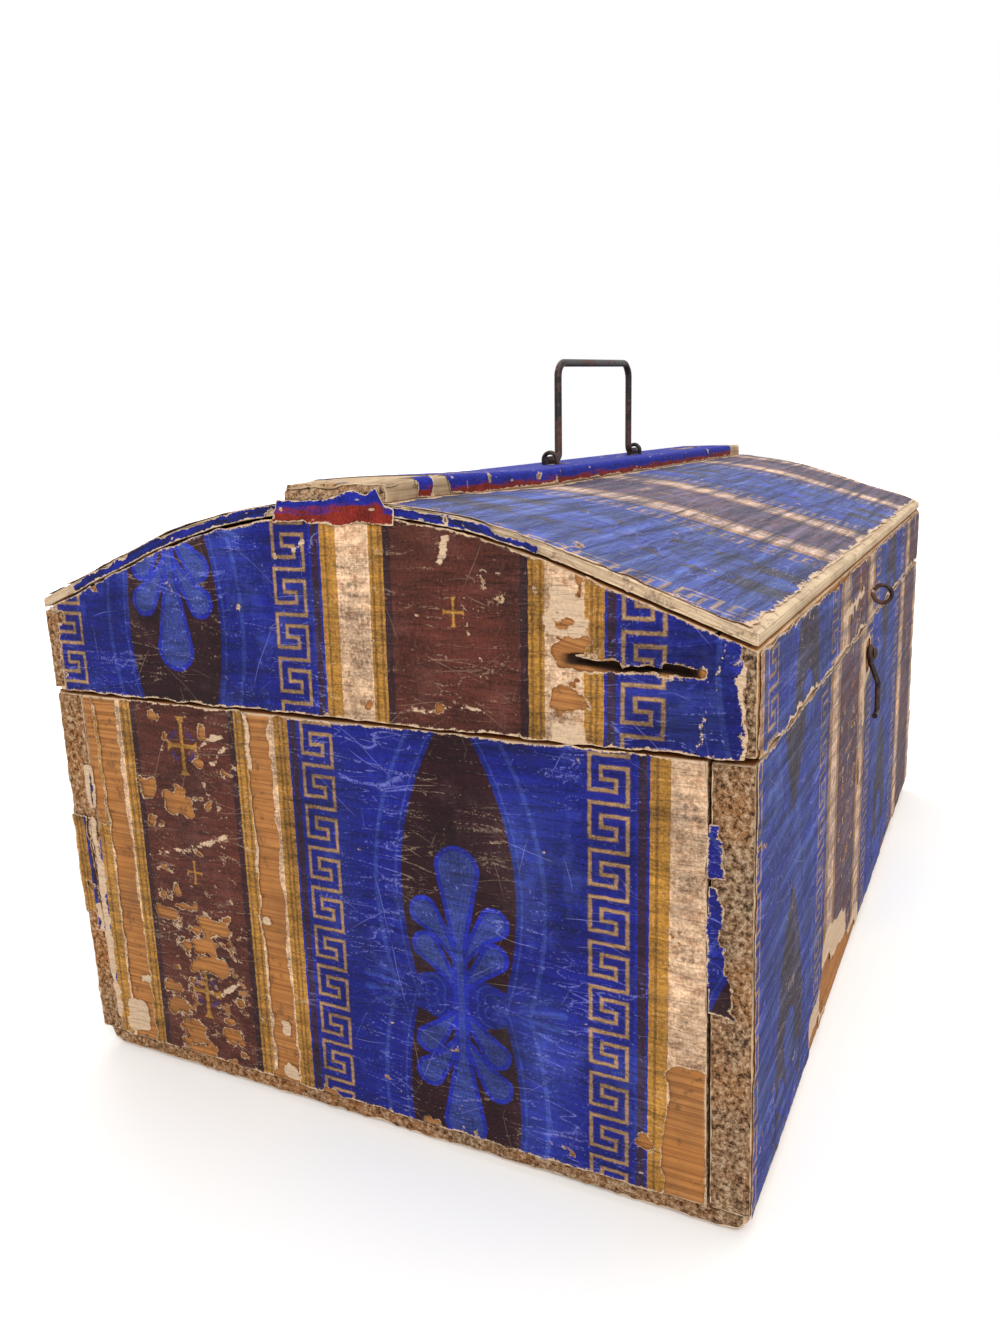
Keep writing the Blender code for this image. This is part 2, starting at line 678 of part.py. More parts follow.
def nail_lid(groups, lid, pivot):
    """Nail the rails to the gables, the sheet to both, and the batten through the sheet."""
    nail = (NAIL_SHANK, NAIL_LENGTH, NAIL_HEAD, NAIL_HEAD_HEIGHT)
    tack = (TACK_SHANK, TACK_LENGTH, TACK_HEAD, TACK_HEAD_HEIGHT)
    half_depth = DEPTH / 2
    gable_x = LENGTH / 2 - GABLE_BOARD / 2
    eave = dome_height(half_depth, DOME_SHEET)
    third = (eave - LID_BASE) / (LID_CORNER_NAILS + 1)
    corners = []
    for x in (-gable_x, gable_x):
        for z in spread(LID_BASE + third, eave - third, LID_CORNER_NAILS):
            corners.append(driven((x, NAIL_SINK - half_depth, z), (0, 1, 0)))
            corners.append(driven((x, half_depth - NAIL_SINK, z), (0, -1, 0)))
    frame = [lid[name] for name in ("lid_front_rail", "lid_back_rail", "lid_left_gable",
                                    "lid_right_gable")]
    nailed("lid_corner_nail", nail, corners, frame, groups, pivot)

    def on_dome(x, y):
        out = abs(y)
        run = min(out / DOME_RADIUS, DOME_SLOPE / math.sqrt(1 + DOME_SLOPE ** 2))
        down = Vector((0, -math.copysign(run, y), -math.sqrt(1 - run ** 2)))
        surface = Vector((x, y, dome_height(y) - sunk(x, y)))
        return driven(surface + down * NAIL_SINK, down)

    edge = half_depth - RAIL_BOARD / 2
    outermost = half_depth - RAIL_BOARD - NAIL_EDGE_MARGIN
    innermost = BATTEN_WIDTH / 2 + abs(BATTEN_SHIFT) + NAIL_EDGE_MARGIN
    along = gable_x - NAIL_EDGE_MARGIN
    tacks = []
    for side in (-1, 1):
        for y in spread(innermost, outermost, GABLE_TACKS_EACH_SIDE):
            tacks += [on_dome(-gable_x, side * y), on_dome(gable_x, side * y)]
        for x in spread(-along, along, EAVE_TACKS):
            tacks.append(on_dome(x, side * edge))
    nailed("dome_nail", tack, tacks, [lid["dome_sheet"]] + frame, groups, pivot)

    ridge = []
    for x in (-gable_x, gable_x):
        top = BATTEN_TOP - sunk(x, BATTEN_SHIFT) - NAIL_SINK
        ridge.append(driven((x, BATTEN_SHIFT, top), (0, 0, -1)))
    held = [lid[name] for name in ("ridge_batten", "dome_sheet", "lid_left_gable",
                                   "lid_right_gable")]
    nailed("batten_nail", nail, ridge, held, groups, pivot)


def main():
    """Build the whole box."""
    empty_scene()
    parts = new_collection("dome_top_dowry_box")
    cutters = new_collection("cutters")
    pivot = bpy.data.objects.new("lid_pivot", None)
    pivot.location = HINGE_AXIS
    parts.objects.link(pivot)
    body = build_body(parts)
    lid = build_lid(parts, pivot)
    build_handle(parts, cutters, pivot, lid)
    build_catch(parts, cutters, pivot, body, lid)
    build_hinges(parts, cutters, pivot, body, lid)
    nail_body((parts, cutters), body)
    nail_lid((parts, cutters), lid, pivot)


main()
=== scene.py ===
"""Looks of a dome-top dowry box covered in old striped wallpaper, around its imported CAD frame."""

import logging
import math
from dataclasses import dataclass, field
from enum import Enum
from functools import cache, partial, reduce
from typing import Callable, Sequence, Union

import bpy
import numpy as np
from mathutils import Matrix, Vector


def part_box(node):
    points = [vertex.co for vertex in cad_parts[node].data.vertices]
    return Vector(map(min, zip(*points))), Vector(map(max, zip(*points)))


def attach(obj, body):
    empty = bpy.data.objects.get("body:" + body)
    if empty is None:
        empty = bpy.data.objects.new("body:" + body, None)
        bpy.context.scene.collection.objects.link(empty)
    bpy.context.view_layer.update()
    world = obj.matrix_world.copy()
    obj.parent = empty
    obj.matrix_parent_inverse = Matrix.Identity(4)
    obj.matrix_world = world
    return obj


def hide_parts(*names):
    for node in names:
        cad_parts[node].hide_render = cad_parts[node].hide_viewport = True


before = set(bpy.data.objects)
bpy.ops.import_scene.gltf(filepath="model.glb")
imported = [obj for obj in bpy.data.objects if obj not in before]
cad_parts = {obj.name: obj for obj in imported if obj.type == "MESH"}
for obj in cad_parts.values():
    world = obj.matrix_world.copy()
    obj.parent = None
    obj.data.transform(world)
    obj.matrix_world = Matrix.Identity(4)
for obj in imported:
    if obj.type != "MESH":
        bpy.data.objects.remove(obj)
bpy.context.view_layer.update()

LOG = logging.getLogger("dowry_box")
MM = 0.001

Array = np.ndarray
Material = bpy.types.Material
Mesh = bpy.types.Mesh
Object = bpy.types.Object
Triple = tuple[float, float, float]
Bend = Callable[[Array], Array]
Layout = Callable[[Array, Array], tuple[Array, Array]]
Place = Callable[[Array, Array, Array], Array]


def srgb(red: int, green: int, blue: int) -> tuple[float, ...]:
    """Turn a colour as seen on a screen into linear light.

    Args:
        red: red from 0 to 255.
        green: green from 0 to 255.
        blue: blue from 0 to 255.

    Returns:
        Linear red, green, blue and full alpha.
    """
    parts = [value / 255 for value in (red, green, blue)]
    linear = [p / 12.92 if p <= 0.04045 else ((p + 0.055) / 1.055) ** 2.4 for p in parts]
    return (*linear, 1.0)


class Tone(Enum):
    """Named colours of the box."""

    BLUE = srgb(20, 26, 114)
    BLUE_LINE = srgb(27, 35, 132)
    NIGHT = srgb(24, 26, 60)
    LEAF = srgb(56, 68, 116)
    LEAF_EDGE = srgb(26, 36, 146)
    TRAIL = srgb(56, 74, 150)
    BROWN = srgb(82, 40, 31)
    BROWN_EDGE = srgb(52, 27, 32)
    OVAL = srgb(38, 10, 19)
    PURPLE_LINE = srgb(50, 29, 50)
    OCHRE = srgb(166, 118, 48)
    OCHRE_DARK = srgb(130, 88, 38)
    CREAM = srgb(216, 180, 146)
    STAIN = srgb(150, 104, 70)
    TAN = srgb(160, 126, 84)
    RUST_INK = srgb(92, 60, 70)
    CORE = srgb(206, 180, 150)
    # Pale of real scratches, and of painted glints on wrinkles
    SCRATCH = srgb(134, 136, 214)
    # Haze tones: dust, and a painted sheen of reflected light
    HAZE = srgb(122, 146, 196)
    WARM_HAZE = srgb(122, 102, 98)
    # Grime of stains and pits, and painted shade in dents
    GRIME = srgb(34, 27, 25)
    SPOT = srgb(46, 38, 44)
    RED = srgb(116, 34, 24)
    WOOD = srgb(174, 114, 60)
    WOOD_DARK = srgb(112, 64, 32)
    WOOD_PALE = srgb(184, 130, 80)
    SHEET = srgb(212, 188, 156)
    SHEET_DARK = srgb(160, 128, 96)
    BATTEN = srgb(186, 158, 122)
    BATTEN_DARK = srgb(138, 110, 82)
    END_GRAIN = srgb(164, 132, 102)
    END_GRAIN_DARK = srgb(84, 62, 46)
    IRON = srgb(44, 38, 38)
    IRON_WORN = srgb(92, 84, 82)
    RUST = srgb(104, 62, 42)
    FLOOR = srgb(236, 235, 233)


class Axis(Enum):
    """Directions that a board's grain can run in."""

    X = 0
    Y = 1


class Grit:
    """Seeded lattice noise that frays edges and roughens surfaces."""

    PRIMES = (0x9E3779B1, 0x85EBCA77, 0xC2B2AE3D)

    def __init__(self, seed: int) -> None:
        """Keep the seed as a 32-bit number."""
        self.seed = np.uint32(seed * 2654435761 & 0xFFFFFFFF)

    def _at(self, cells: Sequence[Array]) -> Array:
        """Draw a number for each lattice cell.

        Args:
            cells: the cells' whole coordinates.

        Returns:
            Numbers from -1 to 1.
        """
        mixed = np.full(cells[0].shape, self.seed, np.uint32)
        for cell, prime in zip(cells, self.PRIMES):
            mixed = mixed ^ ((cell & 0xFFFFFFFF).astype(np.uint32) * np.uint32(prime))
            mixed = (mixed ^ (mixed >> np.uint32(15))) * np.uint32(0x2C1B3C6D)
            mixed = mixed ^ (mixed >> np.uint32(13))
        return mixed.astype(float) / 2 ** 31 - 1

    def smooth(self, *coords: Array) -> Array:
        """Return smooth noise from -1 to 1, one lattice cell a unit.

        Args:
            coords: two or three arrays of the same shape.

        Returns:
            An array of that shape.
        """
        lows = [np.floor(c) for c in coords]
        eases = []
        for coord, low in zip(coords, lows):
            part = coord - low
            eases.append(part * part * (3 - 2 * part))
        total = np.zeros(np.shape(coords[0]))
        for corner in range(2 ** len(coords)):
            weight = 1.0
            cells = []
            for index, (low, ease) in enumerate(zip(lows, eases)):
                bit = corner >> index & 1
                weight = weight * (ease if bit else 1 - ease)
                cells.append(low.astype(np.int64) + bit)
            total += weight * self._at(cells)
        return total

    def layered(self, *coords: Array, octaves: int = 4) -> Array:
        """Return several octaves of smooth noise, each half as strong as the last.

        Args:
            coords: two or three arrays of the same shape.
            octaves: how many layers.

        Returns:
            An array of that shape, from -1 to 1.
        """
        total = np.zeros(np.shape(coords[0]))
        for octave in range(octaves):
            scaled = [c * 2 ** octave + 17.3 * octave for c in coords]
            total += self.smooth(*scaled) / 2 ** octave
        return total / (2 - 2 ** (1 - octaves))


def maths_method(operation: str, reflected: bool = False) -> Callable[..., "Ink"]:
    """Return a method that adds one Math node to an ink's tree.

    Args:
        operation: the node's operation.
        reflected: whether the ink comes after the other value.

    Returns:
        The method.
    """

    def method(self: "Ink", *others: "Value") -> "Ink":
        """Add the node and return its result."""
        values = (*others, self) if reflected else (self, *others)
        return self.desk.maths(operation, *values)

    return method


class Ink:
    """A socket of a node tree that takes part in Python expressions."""

    def __init__(self, desk: "Desk", socket: bpy.types.NodeSocket) -> None:
        """Wrap a socket of a desk's tree."""
        self.desk = desk
        self.socket = socket

    __add__ = __radd__ = maths_method("ADD")
    __sub__ = maths_method("SUBTRACT")
    __rsub__ = maths_method("SUBTRACT", True)
    __mul__ = __rmul__ = maths_method("MULTIPLY")
    __truediv__ = maths_method("DIVIDE")
    __rtruediv__ = maths_method("DIVIDE", True)
    __abs__ = maths_method("ABSOLUTE")
    __gt__ = maths_method("GREATER_THAN")
    __lt__ = maths_method("LESS_THAN")
    least = maths_method("MINIMUM")
    most = maths_method("MAXIMUM")
    part = maths_method("FRACT")
    whole = maths_method("FLOOR")
    root = maths_method("SQRT")

    def clamped(self) -> "Ink":
        """Keep within nought and one."""
        return self.least(1.0).most(0.0)

    def under(self, edge: "Value", soft: float) -> "Ink":
        """Give one below an edge and nought above it, over a soft width."""
        return ((edge - self) / soft + 0.5).clamped()

    def over(self, edge: "Value", soft: float) -> "Ink":
        """Give one above an edge and nought below it, over a soft width."""
        return ((self - edge) / soft + 0.5).clamped()


Value = Union[Ink, float]


class Desk:
    """Builds the nodes of one tree."""

    def __init__(self, tree: bpy.types.NodeTree) -> None:
        """Start with an emptied tree."""
        self.tree = tree
        self.tree.nodes.clear()

    def node(self, kind: str, settings: dict | None = None,
             sockets: dict | None = None) -> bpy.types.Node:
        """Add a node, set its settings and then feed its sockets.

        Args:
            kind: the node's type.
            settings: attributes, or stops for a stepped colour ramp.
            sockets: values, tones or inks by socket name or number.

        Returns:
            The node.
        """
        made = self.tree.nodes.new(kind)
        for key, value in (settings or {}).items():
            if key == "stops":
                self.set_stops(made.color_ramp, value)
            else:
                setattr(made, key, value)
        for key, value in (sockets or {}).items():
            self.feed(made.inputs[key], value)
        return made

    def ink(self, output: int | str, kind: str, settings: dict | None = None,
            sockets: dict | None = None) -> Ink:
        """Add a node and return one of its outputs."""
        return Ink(self, self.node(kind, settings, sockets).outputs[output])

    def feed(self, socket: bpy.types.NodeSocket, value: object) -> None:
        """Link an ink to a socket, or set a tone or a plain value on it.

        Args:
            socket: the socket.
            value: what it takes.
        """
        if isinstance(value, Ink):
            self.tree.links.new(value.socket, socket)
        else:
            socket.default_value = value.value if isinstance(value, Tone) else value

    @staticmethod
    def set_stops(ramp: bpy.types.ColorRamp, stops: Sequence[tuple[float, Tone]]) -> None:
        """Set the stops of a ramp without blends.

        Args:
            ramp: the ramp.
            stops: places and tones.
        """
        while len(ramp.elements) < len(stops):
            ramp.elements.new(0.5)
        for element, (place, tone) in zip(ramp.elements, stops):
            element.position = place
            element.color = tone.value
        ramp.interpolation = "CONSTANT"

    def maths(self, operation: str, *values: Value) -> Ink:
        """Add a Math node on inks or numbers."""
        return self.ink(0, "ShaderNodeMath", {"operation": operation}, dict(enumerate(values)))

    def mix(self, share: Value, first: object, second: object) -> Ink:
        """Mix two colours, inks or tones, by the second one's share."""
        return self.ink(2, "ShaderNodeMix", {"data_type": "RGBA"}, {0: share, 6: first, 7: second})

    def tint(self, vector: Ink, strength: Value) -> Ink:
        """Make a colour lighter or darker, or a vector longer or shorter, by a factor."""
        return self.ink(0, "ShaderNodeVectorMath", {"operation": "SCALE"}, {0: vector, "Scale": strength})

    def vector(self, x: Value, y: Value, z: Value = 0.0) -> Ink:
        """Join three values into a vector."""
        return self.ink(0, "ShaderNodeCombineXYZ", None, {0: x, 1: y, 2: z})

    def split(self, vector: Ink) -> list[Ink]:
        """Part a vector into three values."""
        return [Ink(self, end) for end in self.node("ShaderNodeSeparateXYZ", None, {0: vector}).outputs]

    def attribute(self, name: str) -> list[Ink]:
        """Read the three values of a vector that the mesh carries."""
        return self.split(self.ink("Vector", "ShaderNodeAttribute", {"attribute_name": name}))

    def own_place(self) -> Ink:
        """Read the piece's own coordinates."""
        return self.ink("Object", "ShaderNodeTexCoord")

    def noise(self, place: Ink | tuple, scale: float, detail: float = 3.0, rough: float = 0.5,
              warp: float = 0.0) -> Ink:
        """Read layered noise from nought to one, at a vector or at values that make one."""
        vector = self.vector(*place) if isinstance(place, tuple) else place
        return self.ink(0, "ShaderNodeTexNoise", None, {
            "Vector": vector, "Scale": scale, "Detail": detail, "Roughness": rough, "Distortion": warp})

    def cells(self, vector: Ink, scale: float) -> tuple[Ink, Ink]:
        """Read how far the nearest of many scattered points is, and that point's own number."""
        made = self.node("ShaderNodeTexVoronoi", None, {"Vector": vector, "Scale": scale})
        return Ink(self, made.outputs["Distance"]), self.split(Ink(self, made.outputs["Color"]))[0]

    def chance(self, value: Ink) -> Ink:
        """Give each number a random one from nought to one."""
        return self.ink("Value", "ShaderNodeTexWhiteNoise", {"noise_dimensions": "1D"}, {"W": value})

    def bump(self, height: Ink, depth: float, strength: float = 1.0) -> Ink:
        """Turn a height into a normal, where a height of one stands for a depth in metres."""
        return self.ink(0, "ShaderNodeBump", None, {
            "Height": height, "Distance": depth, "Strength": strength})

    def rays(self, *names: str) -> Ink:
        """Give one to the named kinds of ray and nought to others."""
        path = self.node("ShaderNodeLightPath")
        return reduce(Ink.most, [Ink(self, path.outputs[name]) for name in names])


class Bench(Desk):
    """Builds the nodes of one material."""

    def __init__(self, name: str) -> None:
        """Start a named material with one shader.

        Args:
            name: the material's name.
        """
        self.material = bpy.data.materials.new(name)
        self.material.use_nodes = True
        super().__init__(self.material.node_tree)
        self.shader = self.node("ShaderNodeBsdfPrincipled")
        self.node("ShaderNodeOutputMaterial", None, {0: Ink(self, self.shader.outputs[0])})

    def tear(self, base: Ink, rim: Ink, left: Ink, flat: Ink, core: object, bare: object,
             reach: float = 5.2) -> tuple[Ink, Ink]:
        """Tear a paper's print off along a jagged line, with a thin rim of its core.

        Args:
            base: colour of the print.
            rim: millimetres inside the print.
            left: millimetres inside the paper.
            flat: place on the sheet in millimetres.
            core: colour of the paper's inside.
            bare: colour of what lies under it.
            reach: millimetres that the line strays.

        Returns:
            The colour, and one where the paper is gone.
        """
        stray = (self.noise(flat, 0.42, 7.0, 0.82) - 0.5) * reach
        patchy = self.noise(flat, 0.16, 3.0, 0.6)
        gone = (left + stray).under(0.0, 0.12)
        base = self.mix((rim + stray).under(patchy * 1.5 - 0.42, 0.12), base, core)
        return self.mix(gone, base, bare), gone

    def dress(self, **sockets: object) -> Material:
        """Feed the shader and return the material.

        Args:
            sockets: values or inks by socket name, with _ for a space.

        Returns:
            The material.
        """
        for key, value in sockets.items():
            self.feed(self.shader.inputs[key.replace("_", " ")], value)
        return self.material


@dataclass(frozen=True)
class WallpaperPrint:
    """Layout of the printed paper in millimetres across and along its stripes."""

    repeat: float = 250.0
    brown: float = 54.0
    border: float = 2.5
    ochre: float = 6.5
    cream: float = 13.5
    zone: float = 6.5
    key_width: float = 13.5
    key_pitch: float = 16.7
    key_line: float = 0.62
    oval_repeat: float = 250.0
    cross_repeat: float = 110.0
    spot_repeat: float = 49.0

    @property
    def key_left(self) -> float:
        """Left edge of the first key column."""
        return self.brown + 2 * self.ochre + self.cream + self.zone + 0.3

    @property
    def key_right(self) -> float:
        """Left edge of the second key column."""
        return self.repeat - 2 * self.ochre - self.cream - self.zone - self.key_width - 0.6

    @property
    def middle(self) -> float:
        """Middle of the blue field."""
        return (self.key_left + self.key_right + self.key_width) / 2

    def stripes(self) -> list[tuple[float, Tone]]:
        """Lay the stripes side by side.

        Returns:
            Their places, as shares of the repeat, and their tones.
        """
        thread = 0.13 * self.ochre
        gold = (self.ochre - 2 * thread) / 3
        ochre = [(gold, Tone.OCHRE), (thread, Tone.OCHRE_DARK), (gold, Tone.OCHRE),
                 (thread, Tone.OCHRE_DARK), (gold, Tone.OCHRE)]
        widths = [
            (self.border, Tone.BROWN_EDGE), (self.brown - 2 * self.border, Tone.BROWN),
            (self.border, Tone.BROWN_EDGE),
            *ochre, (self.cream, Tone.CREAM), *ochre,
            (1.1, Tone.BLUE_LINE), (3.2, Tone.PURPLE_LINE), (1.2, Tone.BLUE_LINE),
            (self.key_right + self.key_width - self.key_left + 2.8, Tone.BLUE),
            (1.2, Tone.BLUE_LINE), (3.2, Tone.PURPLE_LINE), (1.2, Tone.BLUE_LINE),
            *ochre, (self.cream, Tone.CREAM), *ochre,
        ]
        stops = []
        place = 0.0
        for width, tone in widths:
            stops.append((place / self.repeat, tone))
            place += width
        return stops


@dataclass(frozen=True)
class WallpaperFinish:
    """The printed paper as it has aged on one group of faces.

    Fields give how faded, scratched, rubbed, grimy and sooty it is, and how rough it has become.
    Fade also paints a pale sheen of reflected light over the face.
    """

    name: str
    fade: float = 0.0
    scratch: float = 0.85
    fleck: float = 0.5
    grime: float = 0.3
    streak: float = 0.04
    dust: float = 0.4
    soot: float = 0.0
    veil: float = 0.25
    warmth: float = 1.0
    roughness: float = 0.68
    layout: WallpaperPrint = WallpaperPrint()

    def key(self, q: Ink, along: Ink) -> Ink:
        """Return the distance from the Greek key's line.

        Args:
            q: place across one repeat.
            along: place along the stripes, from a joint of the key.

        Returns:
            Millimetres from the line, under nought inside it.
        """
        lay = self.layout
        x = q - lay.key_left - (q > lay.middle) * (lay.key_right - lay.key_left)
        y = (along / -lay.key_pitch).part() * lay.key_pitch
        path = [(0, 0), (0, 12.3), (9.3, 12.3), (9.3, 8.4), (4.1, 8.4), (4.1, 4.2), (13.3, 4.2),
                (13.3, lay.key_pitch), (0, lay.key_pitch)]
        runs = list(zip(path, path[1:])) + [((0, 0), (13.3, 0))]
        far = []
        for (x0, y0), (x1, y1) in runs:
            side = abs(x - (x0 + x1) / 2) - abs(x1 - x0) / 2
            far.append(side.most(abs(y - (y0 + y1) / 2) - abs(y1 - y0) / 2))
        return reduce(Ink.least, far)

    @staticmethod
    def lobe(m: Ink, w: Ink, start: tuple[float, float], end: tuple[float, float],
             thin: float, thick: float) -> Ink:
        """Return the distance from a leaf that swells from its stem to a round end.

        Args:
            m: place out from the motif's axis.
            w: place out from its knot.
            start: where the stem starts.
            end: middle of the round end.
            thin: half width at the stem.
            thick: half width at the round end.

        Returns:
            Millimetres from the leaf's outline, under nought inside it.
        """
        dx, dy = end[0] - start[0], end[1] - start[1]
        span = dx * dx + dy * dy
        mx, wy = m - start[0], w - start[1]
        share = ((mx * dx + wy * dy) / span).clamped()
        ex, ey = mx - share * dx, wy - share * dy
        return (ex * ex + ey * ey).root() - (share * (thick - thin) + thin)

    def motif(self, bench: Bench, base: Ink, q: Ink, along: Ink) -> Ink:
        """Print the ovals, leaves and trailing lines of the blue field.

        Args:
            bench: where the nodes go.
            base: colour so far.
            q: place across one repeat.
            along: place along the stripes, from a knot.

        Returns:
            The colour with the motif on it.
        """
        lay = self.layout
        m = abs(q - lay.middle)
        w = abs((along / lay.oval_repeat + 0.5).part() - 0.5) * lay.oval_repeat
        swell = (w - 43) / (80 - w.over(43.0, 0.1) * 10)
        half = 23.5 - swell * swell * 23.5
        knot_m, knot_w = m / 24, w / 10.5
        clear = (knot_m * knot_m + knot_w * knot_w).over(1.0, 0.08)
        base = bench.mix((m - half).under(0.0, 0.5) * clear, base, Tone.OVAL)
        trail = abs(m - half - 2.2).under(0.4, 0.5).most(abs(m - half - 11).under(0.9, 0.6))
        trail = trail * (w < 112)
        side = self.lobe(m, w, (24, 1.2), (41, 3.0), 0.3, 1.5)
        trail = trail.most(side.least(self.lobe(m, w, (24, 3), (36, 8), 0.3, 1.1)).under(0.0, 0.5))
        trail = trail * abs(q - lay.middle).under((lay.key_right - lay.key_left) / 2 - 9, 0.3)
        base = bench.mix(trail * 0.45, base, Tone.TRAIL)
        curl_m, curl_w = m - 12.5, w - 2.5
        ring = (curl_m * curl_m + curl_w * curl_w).root()
        curl = abs(ring - 5.8).under(0.35, 0.5).most(abs(ring - 2.6).under(0.3, 0.4))
        base = bench.mix(curl * (m + w < 21) * 0.4, base, Tone.TRAIL)

        leaves = self.lobe(m, w, (0, 20), (0, 51.5), 2.0, 8.8)
        leaves = leaves.least(self.lobe(m, w, (0, 0), (0, 24), 2.8, 2.6))
        for low, high, thick in ((17.0, 33.0, 5.9), (6.0, 19.5, 5.4)):
            leaf = self.lobe(m, w, (2.0, low), (8.5, high - 6), 1.2, 3.4)
            leaf = leaf.least(self.lobe(m, w, (8.5, high - 6), (14.2, high), 3.4, thick))
            leaves = leaves.least(leaf)
        base = bench.mix(leaves.under(0.5, 0.5), base, Tone.LEAF_EDGE)
        stipple = bench.noise((m, w), 1.6, 2.0, 0.6)
        leaf = bench.mix(stipple.over(0.55, 0.2) * 0.5, Tone.LEAF, Tone.LEAF_EDGE)
        base = bench.mix(leaves.under(-1.4, 0.5) * 0.9, base, leaf)
        hatch = abs((leaves * 0.62).part() - 0.5).under(0.14, 0.16) * 0.5
        veins = hatch.most(abs(m - 1.3).under(0.3, 0.4) * (w < 24))
        return bench.mix(veins * (leaves < -1.6), base, Tone.LEAF_EDGE)

    def crosses(self, bench: Bench, base: Ink, q: Ink, along: Ink) -> Ink:
        """Print the large and small crosses of the brown band.

        Args:
            bench: where the nodes go.
            base: colour so far.
            q: place across one repeat.
            along: place along the stripes, from a large cross.

        Returns:
            The colour with the crosses on it.
        """
        lay = self.layout
        x = abs(q - lay.brown / 2)
        turn = (along / lay.cross_repeat + 0.5).part() - 0.5
        y = abs(turn) * lay.cross_repeat
        far = abs(y - lay.cross_repeat / 2)

        def bar(a: Ink, half_a: float, b: Ink, half_b: float) -> Ink:
            """Return the distance from a bar about the cross's middle."""
            return (a - half_a).most(b - half_b)

        def serif(a: Ink, start: float, amount: float) -> Ink:
            """Return how much wider a bar grows towards its end."""
            past = (a - start).most(0.0)
            return past * past * amount

        large = bar(x - serif(y, 8.6, 0.13), 0.85, y, 12.4)
        large = large.least(bar(y - serif(x, 4.8, 0.2), 0.85, x, 7.8))
        small = bar(x - serif(far, 3.4, 0.16), 0.45, far, 5.2)
        small = small.least(bar(far - serif(x, 2.4, 0.2), 0.45, x, 4.0))
        arcs = abs((x * x + y * y).root() - 6.4).under(0.8, 0.6) * (x > 2.4) * (y > 2.4)
        base = bench.mix(arcs * 0.28, base, Tone.LEAF_EDGE)
        mark = large.least(small).under(0.0, 0.5)
        return bench.mix(mark * 0.9, base, Tone.OCHRE)

    def spots(self, bench: Bench, base: Ink, q: Ink, along: Ink) -> Ink:
        """Stain the cream stripes and print their small four-petal spots.

        Args:
            bench: where the nodes go.
            base: colour so far.
            q: place across one repeat.
            along: place along the stripes.

        Returns:
            The colour with the spots on it.
        """
        lay = self.layout
        first = lay.brown + lay.ochre + lay.cream / 2
        x = abs(q - first).least(abs(q - (lay.repeat - lay.ochre - lay.cream / 2)))
        turn = (along / lay.spot_repeat + 0.5).part() - 0.5
        y = abs(turn) * lay.spot_repeat
        half_way = abs(y - lay.spot_repeat / 2)
        petals = (abs(x - 1.5) * 1.2 + abs(y - 1.7)).under(1.25, 0.5)
        dot = (x * x + half_way * half_way).under(0.5, 0.4)
        soiled = bench.noise((q, along), 0.22, 6.0, 0.75)
        specks = soiled.over(0.66, 0.05) * 0.7
        soiled = soiled.over(0.52, 0.14) * 0.65
        base = bench.mix(soiled * x.under(lay.cream / 2, 0.3), base, Tone.STAIN)
        specks = specks * x.under(lay.cream / 2, 0.3)
        return bench.mix((petals.most(dot) * 0.5).most(specks), base, Tone.SPOT)

    @staticmethod
    def scratches(bench: Bench, across: Ink, along: Ink, turn: float, spacing: float,
                  seed: float) -> Ink:
        """Return fine scratches that run one way.

        Args:
            bench: where the nodes go.
            across: place across the stripes.
            along: place along the stripes.
            turn: direction in degrees.
            spacing: millimetres between lanes.
            seed: a number of its own for each set.

        Returns:
            One on a scratch and nought off it.
        """
        cosine, sine = math.cos(math.radians(turn)), math.sin(math.radians(turn))
        side = across * cosine + along * sine
        run = along * cosine - across * sine
        bend = bench.noise((side * 0.01, run * 0.025, seed), 1.0, 1.0) * 9
        lane = (side + bend) / spacing + seed
        own = bench.chance(lane.whole())
        line = abs(lane.part() - (own * 0.8 + 0.1)) * spacing
        broken = bench.noise((lane.whole() * 3.7, run * 0.03, seed), 1.0, 2.0)
        return line.under(own * 0.12 + 0.03, 0.2) * broken.over(0.62, 0.08)

    def make(self) -> Material:
        """Build the material.

        Returns:
            The paper's material.
        """
        lay = self.layout
        bench = Bench(self.name)
        across, along, rim = bench.attribute("print")
        knot, cross, joint = bench.attribute("phase")
        flat = bench.vector(across, along)
        wobble = (bench.noise(flat, 0.3, 3.0) - 0.5) * 0.9
        q = ((across + wobble) / lay.repeat).part() * lay.repeat
        rise = along + wobble
        base = bench.ink(0, "ShaderNodeValToRGB", {"stops": lay.stripes()}, {0: q / lay.repeat})

        base = self.motif(bench, base, q, rise - knot)
        base = self.crosses(bench, base, q, rise - cross)
        base = self.spots(bench, base, q, rise - cross)
        line = self.key(q, rise - joint)
        base = bench.mix(line.under(0.95, 0.4) * 0.5, base, Tone.RUST_INK)
        base = bench.mix(line.under(lay.key_line, 0.4) * 0.9, base, Tone.TAN)

